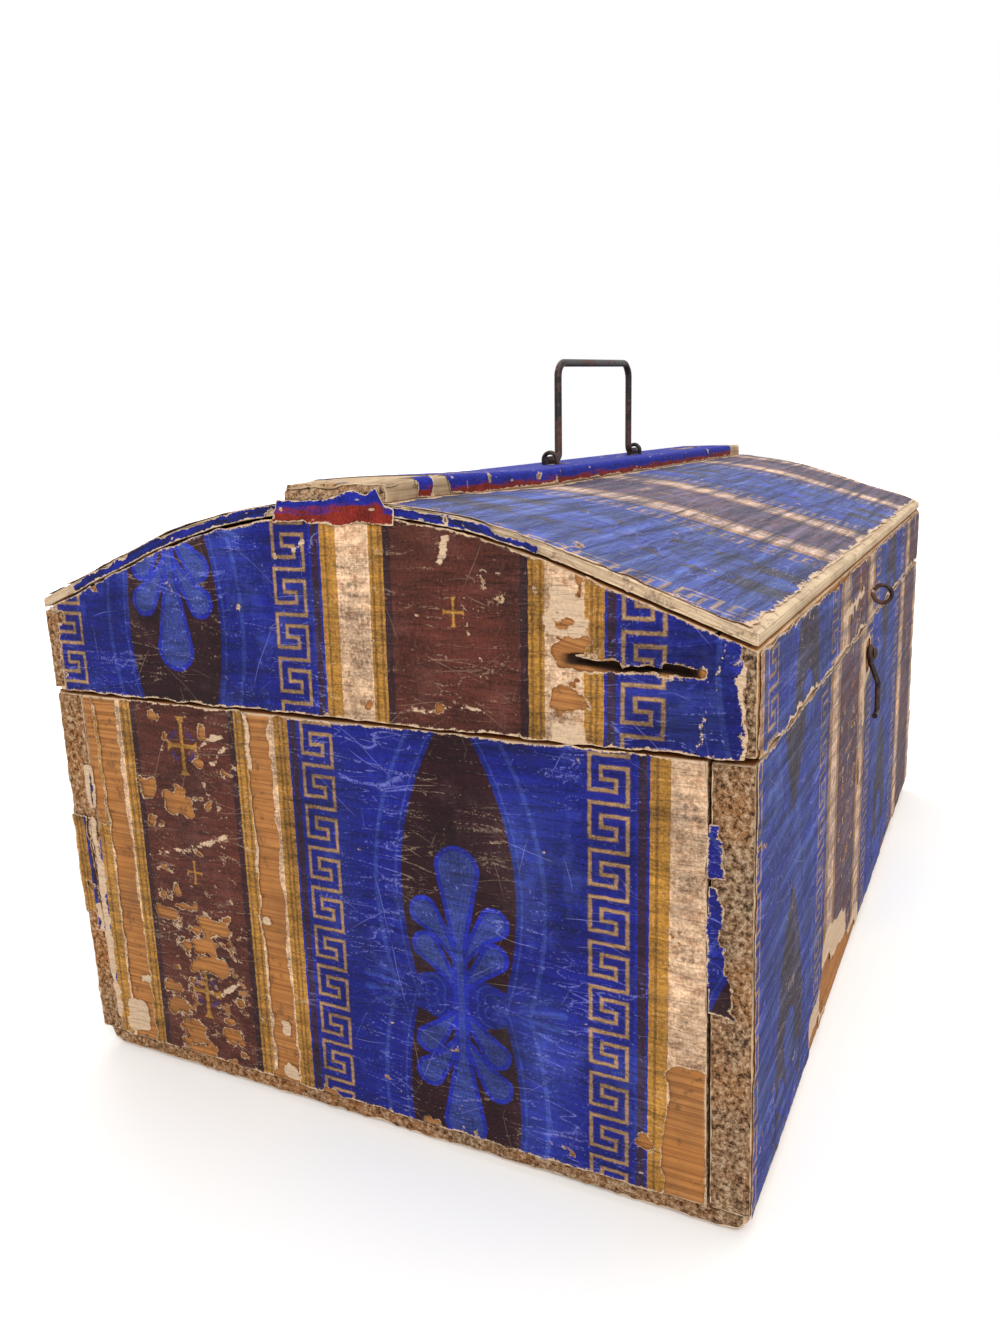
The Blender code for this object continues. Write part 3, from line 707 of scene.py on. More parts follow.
        threads = bench.noise((across * 2.1, along * 0.06), 1.0, 2.0)
        laid = bench.noise((across * 0.1, along * 1.4), 1.0, 4.0, 0.7)
        cloud = bench.noise(flat, 0.028, 6.0, 0.65)
        grain = bench.noise(flat, 0.9, 4.0, 0.7)
        folds = bench.noise((across * 0.05, along * 0.3), 1.0, 5.0, 0.6, 0.4)
        base = bench.tint(base, threads * 0.5 + laid * 0.5 + 0.5)
        # Cloud and grain vary the tone. Folds lighten and darken it as painted light and shade of the
        # wrinkles
        base = bench.tint(base, cloud * 2.2 + grain * 2.6 + folds * 1.9 - 2.32)
        streak = bench.noise((across * 0.012, along * 0.28), 1.0, 4.0, 0.65)
        # Haze: streaks and dust, and with fade a painted sheen of reflected light over the face
        haze_and_sheen = (streak.over(0.6, 0.3) * self.streak + cloud.over(0.55, 0.3) * self.fade * 0.4
                + self.fade * 0.55)
        dust = bench.noise((across * 1.6, along, 9.0), 0.03, 6.0, 0.7).over(0.58, 0.12)
        # The wear attribute also carries the painted shade: its third value darkens as painted shadow above
        # nought, and dusts below it
        wear, left, shade = bench.attribute("wear")
        haze_and_sheen = haze_and_sheen + dust * laid.over(0.42, 0.2) * self.dust
        haze_and_sheen = haze_and_sheen - shade.least(0.0) * (cloud + laid) * 0.6
        red, _, blue = bench.split(base)
        warm = red > blue
        haze_and_sheen_colour = bench.mix(warm * self.warmth, Tone.HAZE, Tone.WARM_HAZE)
        haze_and_sheen_colour = bench.mix(self.veil, bench.tint(base, 2.1), haze_and_sheen_colour)
        base = bench.mix(haze_and_sheen.clamped(), base, haze_and_sheen_colour)
        soot = bench.noise((across * 0.011, along * 0.2, 4.0), 1.0, 4.0, 0.65)
        base = bench.mix(soot.over(0.53, 0.18) * self.soot, base, Tone.NIGHT)
        stain = bench.noise(flat, 0.02, 6.0, 0.65, 0.6).over(0.58, 0.14) * self.grime
        base = bench.mix(stain, base, Tone.GRIME)
        # Painted shade: the sheet's shades darken its colour here
        base = bench.tint(base, 1.0 - shade.most(0.0) * 0.85)

        ways = ((68, 13.0, 3.0), (-24, 17.0, 11.0), (12, 21.0, 19.0), (97, 8.0, 27.0), (51, 19.0, 35.0),
                (-58, 27.0, 43.0))
        marks = reduce(Ink.most, [self.scratches(bench, across, along, *way) for way in ways])
        # Painted highlights: short dashes of glint on tiny wrinkles, and glint lines along fold crests
        dash_glints = bench.noise((across * 0.26, along * 2.6, 7.0), 1.0, 3.0, 0.6)
        dash_glints = dash_glints.over(0.7, 0.05) * cloud.over(0.55, 0.1)
        waves = [bench.noise((across * wide, along * tall, seed), 1.0, 2.0, 0.55, 0.3)
                 for wide, tall, seed in ((0.016, 0.08, 2.0), (0.03, 0.2, 5.0))]
        wave = reduce(Ink.least, [abs(height - 0.5) for height in waves])
        crest = wave.under(0.03, 0.06)
        crease_glint = wave.under(0.006, 0.012) * (grain + cloud).over(1.06, 0.1)
        pale = bench.mix(warm, Tone.SCRATCH, Tone.CORE)
        # Real scratches, with the painted highlights of the dashes and creases
        worn = (marks * 0.75).most(dash_glints * 0.45).most(crease_glint * 0.8) * self.scratch
        base = bench.mix(worn * (1.0 - warm * 0.45), base, pale)

        near, own = bench.cells(flat, 0.42)
        fleck = near.under(own * 0.26 - 0.15, 0.05)
        near_fine, own_fine = bench.cells(flat, 1.1)
        fleck = fleck.most(near_fine.under(own_fine * 0.5 - 0.38, 0.08))
        base = bench.mix(fleck * self.fleck, base, pale)

        lines = bench.noise((across * 0.03, along * 0.55), 1.0, 4.0, 0.6)
        bare = bench.mix(lines.over(0.55, 0.14) * 0.6, Tone.WOOD, Tone.WOOD_DARK)
        bare = bench.tint(bare, grain * 0.8 + 0.6)
        core = bench.tint(bench.mix(cloud, Tone.CORE, Tone.CREAM), grain * 0.9 + 0.55)
        chips = bench.noise((across * 0.75, along, 3.0), 0.15, 7.0, 0.72)
        chips = (0.745 - wear * 0.18 - chips) * 22
        base, gone = bench.tear(base, rim.least(chips), left.least(chips), flat, core, bare)

        height = (grain * 0.32 + laid * 0.1 + folds * 3.0 + crest * 0.5 - marks * 0.1 - fleck * 0.15
                  - gone * 0.25)
        rough = (self.roughness + (cloud - 0.5) * 0.3 + gone * 0.2).clamped()
        return bench.dress(
            Base_Color=base, Roughness=rough, Normal=bench.bump(height, 0.0011, 0.9),
            Specular_IOR_Level=0.2)


@dataclass(frozen=True)
class WoodFinish:
    """Bare old softwood, with its grain along one direction of the box."""

    name: str
    grain: Axis = Axis.X
    light: Tone = Tone.WOOD
    dark: Tone = Tone.WOOD_DARK
    pale: Tone = Tone.WOOD_PALE
    ring: float = 3.7 * MM
    dirt: float = 0.35
    slant: float = 0.6
    recess_shade: Tone = Tone.GRIME

    def make(self) -> Material:
        """Build the material.

        Returns:
            The wood's material.
        """
        bench = Bench(self.name)
        x, y, z = bench.split(bench.own_place())
        run, side = (x, y) if self.grain is Axis.X else (y, x)
        soft = bench.noise((run * 9, side * 60, z * 60), 1.0, 4.0, 0.6)
        fibre = bench.noise((run * 40, side * 900, z * 900), 1.0, 3.0, 0.65)
        hollow, rubbed, level = bench.attribute("hollow")
        ring = ((level * MM + side * self.slant) / self.ring + soft * 2.2).part()
        late = ring.over(0.8, 0.3) * soft.over(0.46, 0.25) * 0.7
        ribs = bench.noise((run * 14, level * 0.75, side * 30), 1.0, 3.0, 0.6)
        late = late.most(ribs.over(0.54, 0.14) * 0.55)
        base = bench.mix(soft.over(0.5, 0.5) * 0.7, self.light, self.pale)
        base = bench.mix(late, base, self.dark)
        base = bench.tint(base, fibre * 0.5 + 0.75)
        rubbed = (rubbed * 1.4 + (fibre + soft - 1.0) * 1.5).clamped() * rubbed.over(0.08, 0.1)
        base = bench.mix(rubbed, base, Tone.SHEET)
        # Painted shade in the dents: darker the deeper the board is pressed in
        base = bench.mix((hollow * 0.55).clamped() * 0.94, base, self.recess_shade)
        dirt = bench.noise(bench.own_place(), 26.0, 5.0, 0.65).over(0.56, 0.2)
        specks = bench.noise(bench.own_place(), 190.0, 5.0, 0.7)
        dirt = dirt.most(specks.over(0.6, 0.07) * 1.6) * self.dirt
        base = bench.mix(dirt, base, Tone.END_GRAIN_DARK)
        height = fibre * 0.5 + late * 0.6
        return bench.dress(
            Base_Color=base, Roughness=(0.9 - late * 0.2), Specular_IOR_Level=0.12,
            Normal=bench.bump(height, 0.0003, 0.9))


@dataclass(frozen=True)
class EndGrainFinish:
    """Porous sawn ends of the boards, grey with old dirt, with painted highlight and shade on their lumps.
    """

    name: str
    light: Tone = Tone.END_GRAIN
    dark: Tone = Tone.END_GRAIN_DARK

    def make(self) -> Material:
        """Build the material.

        Returns:
            The end grain's material.
        """
        bench = Bench(self.name)
        place = bench.own_place()
        pores = bench.noise(place, 900.0, 3.0, 0.8)
        lumps = bench.noise(place, 540.0, 5.0, 0.75)
        patch = bench.noise(place, 30.0, 4.0, 0.6)
        side = bench.split(place)[1].over(0.0, 0.2)
        base = bench.mix(pores.over(0.47, 0.22), self.dark, self.light)
        base = bench.mix((patch.over(0.5, 0.2) * 0.5 + side * 0.4).clamped(), base, Tone.WOOD)
        # Pale crumbs on the lumps and dirt in their pits, partly painted highlight and shade of the relief
        base = bench.mix(lumps.over(0.56, 0.06) * 0.7, base, Tone.SHEET)
        base = bench.mix(lumps.under(0.44, 0.06) * 0.85, base, Tone.GRIME)
        return bench.dress(
            Base_Color=base, Roughness=0.94, Specular_IOR_Level=0.1,
            Normal=bench.bump(pores * 0.4 + lumps, 0.0012, 1.0))


@dataclass(frozen=True)
class IronFinish:
    """Old black iron wire with brown rust and rubbed bright places."""

    name: str
    rust: float = 0.45

    def make(self) -> Material:
        """Build the material.

        Returns:
            The iron's material.
        """
        bench = Bench(self.name)
        place = bench.own_place()
        scale = bench.noise(place, 420.0, 5.0, 0.65)
        patch = bench.noise(place, 45.0, 4.0, 0.6, 0.4)
        rust = (patch * 0.7 + scale * 0.3).over(1.0 - self.rust, 0.16)
        base = bench.mix(scale.over(0.62, 0.2) * 0.5, Tone.IRON, Tone.IRON_WORN)
        base = bench.mix(rust * 0.85, base, Tone.RUST)
        return bench.dress(
            Base_Color=base, Metallic=(0.75 - rust * 0.65), Roughness=(0.42 + rust * 0.42),
            Normal=bench.bump(scale * 0.5 + rust * 0.5, 0.0003, 0.8))


@dataclass(frozen=True)
class PlainPaperFinish:
    """Unprinted coloured lining paper on the batten, rubbed through in places."""

    name: str
    main: Tone = Tone.BLUE_LINE
    other: Tone = Tone.RED
    share: float = 0.5

    def make(self) -> Material:
        """Build the material.

        Returns:
            The paper's material.
        """
        bench = Bench(self.name)
        across, along, rim = bench.attribute("print")
        flat = bench.vector(across, along)
        cloud = bench.noise(flat, 0.13, 5.0, 0.7)
        grain = bench.noise(flat, 1.1, 3.0, 0.6)
        edge = bench.noise((across * 0.05, along * 0.4), 1.0, 4.0, 0.6)
        low = bench.attribute("phase")[2]
        share = (edge + low).over(1.0 - self.share, 0.2)
        base = bench.mix(share, self.main, self.other)
        base = bench.tint(base, cloud * 2.4 + grain * 2.4 - 1.4)
        near, own = bench.cells(bench.vector(across * 0.4, along), 0.4)
        fleck = near.under(own * 0.5 - 0.28, 0.06)
        base = bench.mix(fleck * 0.6, base, Tone.SHEET)
        left = bench.attribute("wear")[1]
        base, gone = bench.tear(base, rim, left, flat, Tone.CORE, Tone.BATTEN, 3.0)
        height = grain * 0.5 + edge * 0.4 - fleck * 0.4 - gone * 0.5
        return bench.dress(
            Base_Color=base, Roughness=(0.62 + grain * 0.2), Specular_IOR_Level=0.16,
            Normal=bench.bump(height + cloud, 0.0007, 0.8))


@cache
def material_of(finish: object) -> Material:
    """Return the material of a finish, made at its first use."""
    return finish.make()


def linked(thing: Object) -> Object:
    """Link an object to the scene and return it."""
    bpy.context.scene.collection.objects.link(thing)
    return thing


def triangle_mesh(name: str, points: Array, triangles: Array) -> Mesh:
    """Make a mesh from points and triangles.

    Args:
        name: the mesh's name.
        points: rows of x, y and z in metres.
        triangles: rows of three point numbers.

    Returns:
        The mesh.
    """
    mesh = bpy.data.meshes.new(name)
    mesh.vertices.add(len(points))
    mesh.vertices.foreach_set("co", points.astype(np.float32).ravel())
    mesh.loops.add(triangles.size)
    mesh.loops.foreach_set("vertex_index", triangles.astype(np.int32).ravel())
    mesh.polygons.add(len(triangles))
    mesh.polygons.foreach_set("loop_start", np.arange(0, triangles.size, 3, dtype=np.int32))
    mesh.update(calc_edges=True)
    mesh.validate()
    return mesh


def vector_attribute(mesh: Mesh, name: str, values: Array) -> None:
    """Store a vector for each point of a mesh."""
    made = mesh.attributes.new(name, "FLOAT_VECTOR", "POINT")
    made.data.foreach_set("vector", values.astype(np.float32).ravel())


def add_piece(mesh: Mesh, name: str, body: str, materials: Sequence[Material],
              replaced: Sequence[str] = (), sharp: float = 40.0, settled: bool = True) -> None:
    """Link a finished mesh as a piece of the box and hang it on its body.

    Args:
        mesh: the mesh, in its place.
        name: the piece's name.
        body: the CAD body that carries it.
        materials: its material slots.
        replaced: CAD nodes that it stands for.
        sharp: angle in degrees past which an edge stays sharp.
        settled: whether it follows the sunk ridge and the worn corners.
    """
    if settled:
        points = np.empty(len(mesh.vertices) * 3, np.float32)
        mesh.vertices.foreach_get("co", points)
        points = SIZES.settled(points.reshape(-1, 3).astype(float), body)
        mesh.vertices.foreach_set("co", points.astype(np.float32).ravel())
        mesh.update()
    for material in materials:
        mesh.materials.append(material)
    mesh.shade_smooth()
    mesh.set_sharp_from_angle(angle=math.radians(sharp))
    piece = linked(bpy.data.objects.new(name, mesh))
    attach(piece, body)
    if replaced:
        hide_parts(*replaced)
    LOG.info("%s on %s: %d triangles", name, body, len(mesh.polygons))


@dataclass
class WornBoard:
    """A lattice box with worn edges that stands for a board of the CAD frame.

    Sizes are in metres. Radii are those of the low and high side along x, y and z. A bend gives the
    points their heights, and dents press them in.
    """

    COARSE, FINE, CHIP = 17 * MM, 3.1 * MM, 0.45 * MM
    RING_WIDTH, RING_BEND, RING_DRIFT = 3.7 * MM, 60 * MM, 9 * MM

    node: str
    body: str
    low: Vector
    high: Vector
    steps: Triple
    radii: tuple[float, float, float, float, float, float]
    grain: Axis = Axis.X
    seed: int = 1
    ridges: float = 0.05 * MM
    porous: float = 1.1 * MM
    sink: float = 0.12 * MM
    bend: Bend | None = None
    dents: Bend | None = None

    def lines(self, axis: int) -> Array:
        """Space the lattice along one axis, closer together at the rounded edges.

        Args:
            axis: the axis.

        Returns:
            Places along it.
        """
        low, high = self.low[axis], self.high[axis]
        near, far = self.radii[2 * axis], self.radii[2 * axis + 1]
        inner_low, inner_high = low + near, high - far
        count = max(1, round((inner_high - inner_low) / self.steps[axis]))
        close = np.array([0.0, 0.12, 0.35, 0.65])
        return np.concatenate([
            low + near * close, np.linspace(inner_low, inner_high, count + 1),
            (high - far * close)[::-1]])

    def lattice(self) -> tuple[Array, Array, Array]:
        """Lay out the box's surface.

        Returns:
            Its points, its triangles and the side that each triangle is on.
        """
        lines = [self.lines(axis) for axis in range(3)]
        counts = [len(line) for line in lines]
        shell = np.ones(counts, bool)
        shell[1:-1, 1:-1, 1:-1] = False
        index = np.full(counts, -1, np.int64)
        index[shell] = np.arange(shell.sum())
        places = np.argwhere(shell)
        points = np.stack([lines[axis][places[:, axis]] for axis in range(3)], 1)
        triangles, sides = [], []
        for axis in range(3):
            for end in (0, -1):
                face = np.take(index, end, axis)
                a, b = face[:-1, :-1], face[1:, :-1]
                c, d = face[1:, 1:], face[:-1, 1:]
                if (end == 0) != (axis == 1):
                    b, d = d, b
                quads = np.stack([a, b, c, a, c, d], -1).reshape(-1, 3)
                triangles.append(quads)
                sides.append(np.full(len(quads), 2 * axis + (end == -1)))
        return points, np.concatenate(triangles), np.concatenate(sides)

    def worn(self, points: Array) -> tuple[Array, Array]:
        """Round the edges unevenly and roughen the surface.

        Args:
            points: the lattice's points.

        Returns:
            The moved points, and how much each is rubbed as part of an edge.
        """
        grit = Grit(self.seed)
        low, high = np.array(self.low), np.array(self.high)
        coarse = [points[:, axis] / self.COARSE for axis in range(3)]
        fine = [points[:, axis] / self.FINE for axis in range(3)]
        wear = 1 + 0.35 * grit.layered(*coarse, octaves=2)
        near, far = np.array(self.radii[0::2]), np.array(self.radii[1::2])
        core = np.clip(points, low + near, high - far)
        out = points - core
        reach = np.where(out < 0, near, far)
        share = np.abs(out) / np.maximum(reach, 1e-9)
        length = np.linalg.norm(share, axis=1)
        largest = share.max(1)
        pull = np.where(length > 1e-9, largest / np.maximum(length, 1e-9), 1)
        edge = np.clip(length - largest, 0, 1) / (math.sqrt(2) - 1)
        pull = 1 - (1 - pull) * np.clip(wear + 0.25 * grit.smooth(*fine), 0.3, 1.35)
        moved = core + out * pull[:, None]

        chips = grit.layered(*fine, octaves=3)
        normal = np.where(points <= low + 1e-9, -1.0, 0) + np.where(points >= high - 1e-9, 1.0, 0)
        lengths = np.linalg.norm(normal, axis=1, keepdims=True)
        normal = normal / np.maximum(lengths, 1e-9)
        run = self.grain.value
        on_end = np.abs(normal[:, run])
        cross = points[:, 2] + 0.4 * points[:, 1 - run]
        bands = np.sin(2 * math.pi * (cross / self.RING_WIDTH + 0.7 * grit.smooth(
            points[:, run] / self.RING_BEND, cross / self.RING_DRIFT)))
        depth = self.sink + self.ridges * (0.5 - 0.5 * bands) * (1 - on_end)
        pits = np.clip(grit.layered(*[c * 1.6 for c in fine], octaves=2), -0.2, 1)
        depth = depth + on_end * self.porous * (0.35 + pits)
        depth = depth + edge * self.CHIP * np.clip(chips, 0, 1)
        moved = moved - normal * depth[:, None]
        return moved - normal * self.pressed(points)[:, None], edge

    def pressed(self, points: Array) -> Array:
        """Return how far the board's dents press each point in."""
        return self.dents(points) if self.dents else np.zeros(len(points))

    def build(self, materials: Sequence[Material], slot: str = "papered_wood") -> None:
        """Build the board and hang it on its body.

        Args:
            materials: long grain first, end grain second.
            slot: not used.
        """
        points, triangles, sides = self.lattice()
        moved, edge = self.worn(points)
        if self.bend:
            moved[:, 2] = self.bend(moved)
        name = "worn_" + self.node
        mesh = triangle_mesh(name, moved, triangles)
        hollow = self.pressed(points) / MM
        vector_attribute(mesh, "hollow", np.stack([hollow, edge, points[:, 2] / MM], 1))
        sawn = (sides // 2 == self.grain.value).astype(np.int32)
        mesh.polygons.foreach_set("material_index", sawn)
        add_piece(mesh, name, self.body, materials, [self.node])


@dataclass(frozen=True)
class Patch:
    """A rounded patch in a face's own millimetres: middle, size, turn in degrees and raggedness."""

    a: float
    b: float
    width: float
    height: float
    turn: float = 0.0
    shred: float = 0.8

    def distance(self, a: Array, b: Array) -> Array:
        """Measure from the patch's outline.

        Args:
            a: places along the face.
            b: places up the face.

        Returns:
            Millimetres, under nought inside the patch.
        """
        cosine, sine = math.cos(math.radians(self.turn)), math.sin(math.radians(self.turn))
        da, db = a - self.a, b - self.b
        half_a, half_b = self.width / 2, self.height / 2
        corner = 0.7 * min(half_a, half_b)
        qa = np.abs(da * cosine + db * sine) - half_a + corner
        qb = np.abs(db * cosine - da * sine) - half_b + corner
        outside = np.hypot(np.maximum(qa, 0), np.maximum(qb, 0))
        return outside + np.minimum(np.maximum(qa, qb), 0) - corner


def streak(a0: float, b0: float, a1: float, b1: float, width: float, shred: float = 0.8) -> Patch:
    """Return a narrow patch that runs from one point to another."""
    turn = math.degrees(math.atan2(b1 - b0, a1 - a0))
    return Patch((a0 + a1) / 2, (b0 + b1) / 2, math.hypot(a1 - a0, b1 - b0), width, turn, shred)


def flake(a: float, b: float, width: float, height: float, turn: float = 0.0) -> Patch:
    """Return a patch with a jagged outline, where paper has flaked away."""
    return Patch(a, b, width, height, turn, 4.0)


@dataclass
class PaperSheet:
    """A glued sheet of paper on one face, torn and lifted along its tears.

    Places on the face are in millimetres: a along it and b up it. Tears are gone, peels have lost
    only their print, and scraps are left over inside a tear. Shades paint shade on a patch, a painted
    shadow that darkens it, or dust it where they are under nought.
    """

    FRAY_SIZE, FLAKE_BLUR, SHADE_BLUR, CURL_REACH, MARGIN = 7.0, 12.0, 16.0, 1.4, 2.0

    name: str
    body: str
    place: Place
    span: tuple[float, float, float, float]
    step: float
    layout: Layout
    knot: float = 0.0
    cross: float = 0.0
    key: float = 0.0
    flip: bool = False
    tint: Callable[[Array, Array], Array] | None = None
    top: Bend | None = None
    tears: Sequence[Patch] = ()
    peels: Sequence[Patch] = ()
    scraps: Sequence[Patch] = ()
    holes: Sequence[Patch] = ()
    flakes: Sequence[tuple[Patch, float]] = ()
    shades: Sequence[tuple[Patch, float]] = ()
    flaking: float = -0.75
    ragged: float = 1.1
    curl: float = 0.35
    lift: float = 0.20
    thick: float = 0.16
    rubbed: float = 0.5
    swell: float = 0.10
    seed: int = 1

    def fields(self, a: Array, b: Array) -> tuple[Array, ...]:
        """Work out where paper is left and where its print is left.

        Args:
            a: places along the face.
            b: places up the face.

        Returns:
            Millimetres inside the sheet, inside its print and clear of its tears, and its wear.
        """
        grit = Grit(self.seed)
        fray = self.ragged * grit.layered(a / self.FRAY_SIZE, b / self.FRAY_SIZE, octaves=4)
        other = self.ragged * grit.layered(a / self.FRAY_SIZE + 91.7, b / self.FRAY_SIZE - 37.1, octaves=4)
        fa, fb = a + fray, b + other
        a0, a1, b0, b1 = self.span
        high = b1 if self.top is None else self.top(a)
        border = np.minimum(np.minimum(fa - a0, a1 - fa), np.minimum(fb - b0, high - fb))
        speckle = grit.layered(a / 6.5 + 5.1, b / 5.0, octaves=5)
        lag = np.clip(0.1 + 1.2 * grit.layered(a / 8 + 3.7, b / 8, octaves=2), 0, 0.9)
        left = np.full(a.shape, 99.0)
        bared = left.copy()
        for tear in self.tears:
            ta, tb = fa + 0.6 * fray, fb + 0.6 * other
            left = np.minimum(left, tear.distance(ta, tb) + tear.shred * speckle)
            bared = np.minimum(bared, tear.distance(ta, tb + lag) + tear.shred * speckle)
        loose = np.full(a.shape, self.flaking)
        for patch, strength in self.flakes:
            near = np.clip(0.5 - patch.distance(a, b) / self.FLAKE_BLUR, 0, 1)
            loose = np.maximum(loose, self.flaking + near * (strength - self.flaking))
        left = np.minimum(left, (-loose - speckle) * 5.0)
        for scrap in self.scraps:
            left = np.maximum(left, -scrap.distance(fa, fb) - scrap.shred * speckle)
        keep = np.minimum(border, left)
        for hole in self.holes:
            keep = np.minimum(keep, hole.distance(a, b))
        printed = np.minimum(np.minimum(keep, border - self.rubbed), bared + 0.3)
        for peel in self.peels:
            printed = np.minimum(
                printed, peel.distance(fa + fray, fb + other) + 2.5 * peel.shred * speckle)
        return keep, printed, left, np.clip((loose - self.flaking) / 0.45, 0, 1)

    def clip(self, a: Array, b: Array, keep: Array) -> tuple[Array, Array, Array]:
        """Cut the face's grid along the tears.

        Args:
            a: grid of places along the face.
            b: grid of places up the face.
            keep: millimetres inside the paper.

        Returns:
            Places along and up the face of the points that are left, and their triangles.
        """
        least = 0.10 * self.step
        keep = np.where(np.abs(keep) < least, np.where(keep < 0, -least, least), keep)
        number = np.arange(a.size).reshape(a.shape)
        p, q = number[:-1, :-1], number[1:, :-1]
        r, s = number[1:, 1:], number[:-1, 1:]
        whole = np.concatenate([np.stack(t, -1).reshape(-1, 3) for t in ((p, q, r), (p, r, s))])
        flat_keep, flat_a, flat_b = keep.ravel(), a.ravel(), b.ravel()
        inside = flat_keep[whole] > 0
        count = inside.sum(1)
        left = [whole[count == 3]]
        pending, crossings = [], []
        for amount, alone in ((1, True), (2, False)):
            chosen = whole[count == amount]
            odd = np.argmax(inside[count == amount] == alone, 1)
            rows = np.arange(len(chosen))
            first, second, third = (chosen[rows, (odd + turn) % 3] for turn in range(3))
            pending.append((first, second, third))
            crossings += [np.stack([first, second], 1), np.stack([first, third], 1)]
        edges = np.sort(np.concatenate(crossings), 1)
        unique, inverse = np.unique(edges, axis=0, return_inverse=True)
        low, high = unique[:, 0], unique[:, 1]
        share = flat_keep[low] / (flat_keep[low] - flat_keep[high])
        all_a, all_b = (np.concatenate([flat, flat[low] + share * (flat[high] - flat[low])])
                        for flat in (flat_a, flat_b))
        (alone, _, _), (_, second, third) = pending
        ends = np.cumsum([len(alone), len(alone), len(second)])
        one_ab, one_ac, two_ab, two_ac = np.split(inverse.ravel() + a.size, ends)
        for corners in ((alone, one_ab, one_ac), (two_ab, second, third), (two_ab, third, two_ac)):
            left.append(np.stack(corners, 1))
        return all_a, all_b, self.no_crumbs(np.concatenate(left), all_a.size)

    @staticmethod
    def no_crumbs(triangles: Array, size: int, least: int = 12) -> Array:
        """Drop islands of paper of only a few triangles.

        Args:
            triangles: rows of three point numbers.
            size: how many points there are.
            least: fewest triangles that an island keeps.

        Returns:
            The triangles that are left.
        """
        label = np.arange(size)
        while True:
            lowest = label[triangles].min(1)
            fresh = label.copy()
            for corner in range(3):
                np.minimum.at(fresh, triangles[:, corner], lowest)
            fresh = fresh[fresh]
            if np.array_equal(fresh, label):
                break
            label = fresh
        owner = label[triangles[:, 0]]
        amount = np.bincount(owner, minlength=size)
        return triangles[amount[owner] >= least]

    def build(self, finish: object) -> None:
        """Build the sheet as a thin closed shell and hang it on its body.

        Args:
            finish: how the paper looks.
        """
        a0, a1, b0, b1 = self.span
        lines = [np.linspace(low - self.MARGIN, high + self.MARGIN,
                             round((high - low + 2 * self.MARGIN) / self.step) + 1)
                 for low, high in ((a0, a1), (b0, b1))]
        a, b = np.meshgrid(*lines, indexing="ij")
        keep = self.fields(a, b)[0]
        keep[[0, -1], :] = -1
        keep[:, [0, -1]] = -1
        all_a, all_b, triangles = self.clip(a, b, keep)
        used, triangles = np.unique(triangles, return_inverse=True)
        triangles = triangles.reshape(-1, 3)
        a, b = all_a[used], all_b[used]
        keep, printed, left, wear = self.fields(a, b)

        grit = Grit(self.seed + 50)
        near = np.exp(-np.clip(keep, 0, None) / self.CURL_REACH)
        loose = np.clip(0.35 + grit.layered(a / 14, b / 14, octaves=2), 0, 1.2)
        folds = grit.layered(a / 34, b / 5.5, octaves=3)
        lift = self.lift + self.swell * (0.5 + 0.5 * grit.smooth(a / 28, b / 22))
        lift = lift + self.swell * np.clip(folds, 0, 1) + self.curl * near * loose
        front = self.place(a, b, lift)
        back = self.place(a, b, lift - self.thick)
        if self.flip:
            triangles = triangles[:, ::-1]
        size = len(a)
        directed = np.concatenate([triangles[:, [0, 1]], triangles[:, [1, 2]], triangles[:, [2, 0]]])
        keys = directed.min(1) * size + directed.max(1)
        _, where, counts = np.unique(keys, return_index=True, return_counts=True)
        rim = directed[where[counts == 1]]
        i, j = rim[:, 0], rim[:, 1]
        walls = [np.stack(corners, 1) for corners in ((i, i + size, j + size), (i, j + size, j))]
        shell = np.concatenate([triangles, triangles[:, ::-1] + size, *walls])
        mesh = triangle_mesh(self.name, np.concatenate([front, back]), shell)
        tint = np.full(size, self.key) if self.tint is None else self.tint(a, b)
        # Painted shade: patches that darken the colour where shade falls, or dust it below nought
        shade = np.zeros(size)
        for patch, strength in self.shades:
            shade = shade + strength * np.clip(0.5 - patch.distance(a, b) / self.SHADE_BLUR, 0, 1)
        for name, columns in (
                ("print", (*self.layout(a, b), printed)), ("wear", (wear, left, shade)),
                ("phase", (np.full(size, self.knot), np.full(size, self.cross), tint))):
            values = np.stack(columns, 1)
            vector_attribute(mesh, name, np.concatenate([values, values]))
        add_piece(mesh, self.name, self.body, [material_of(finish)])


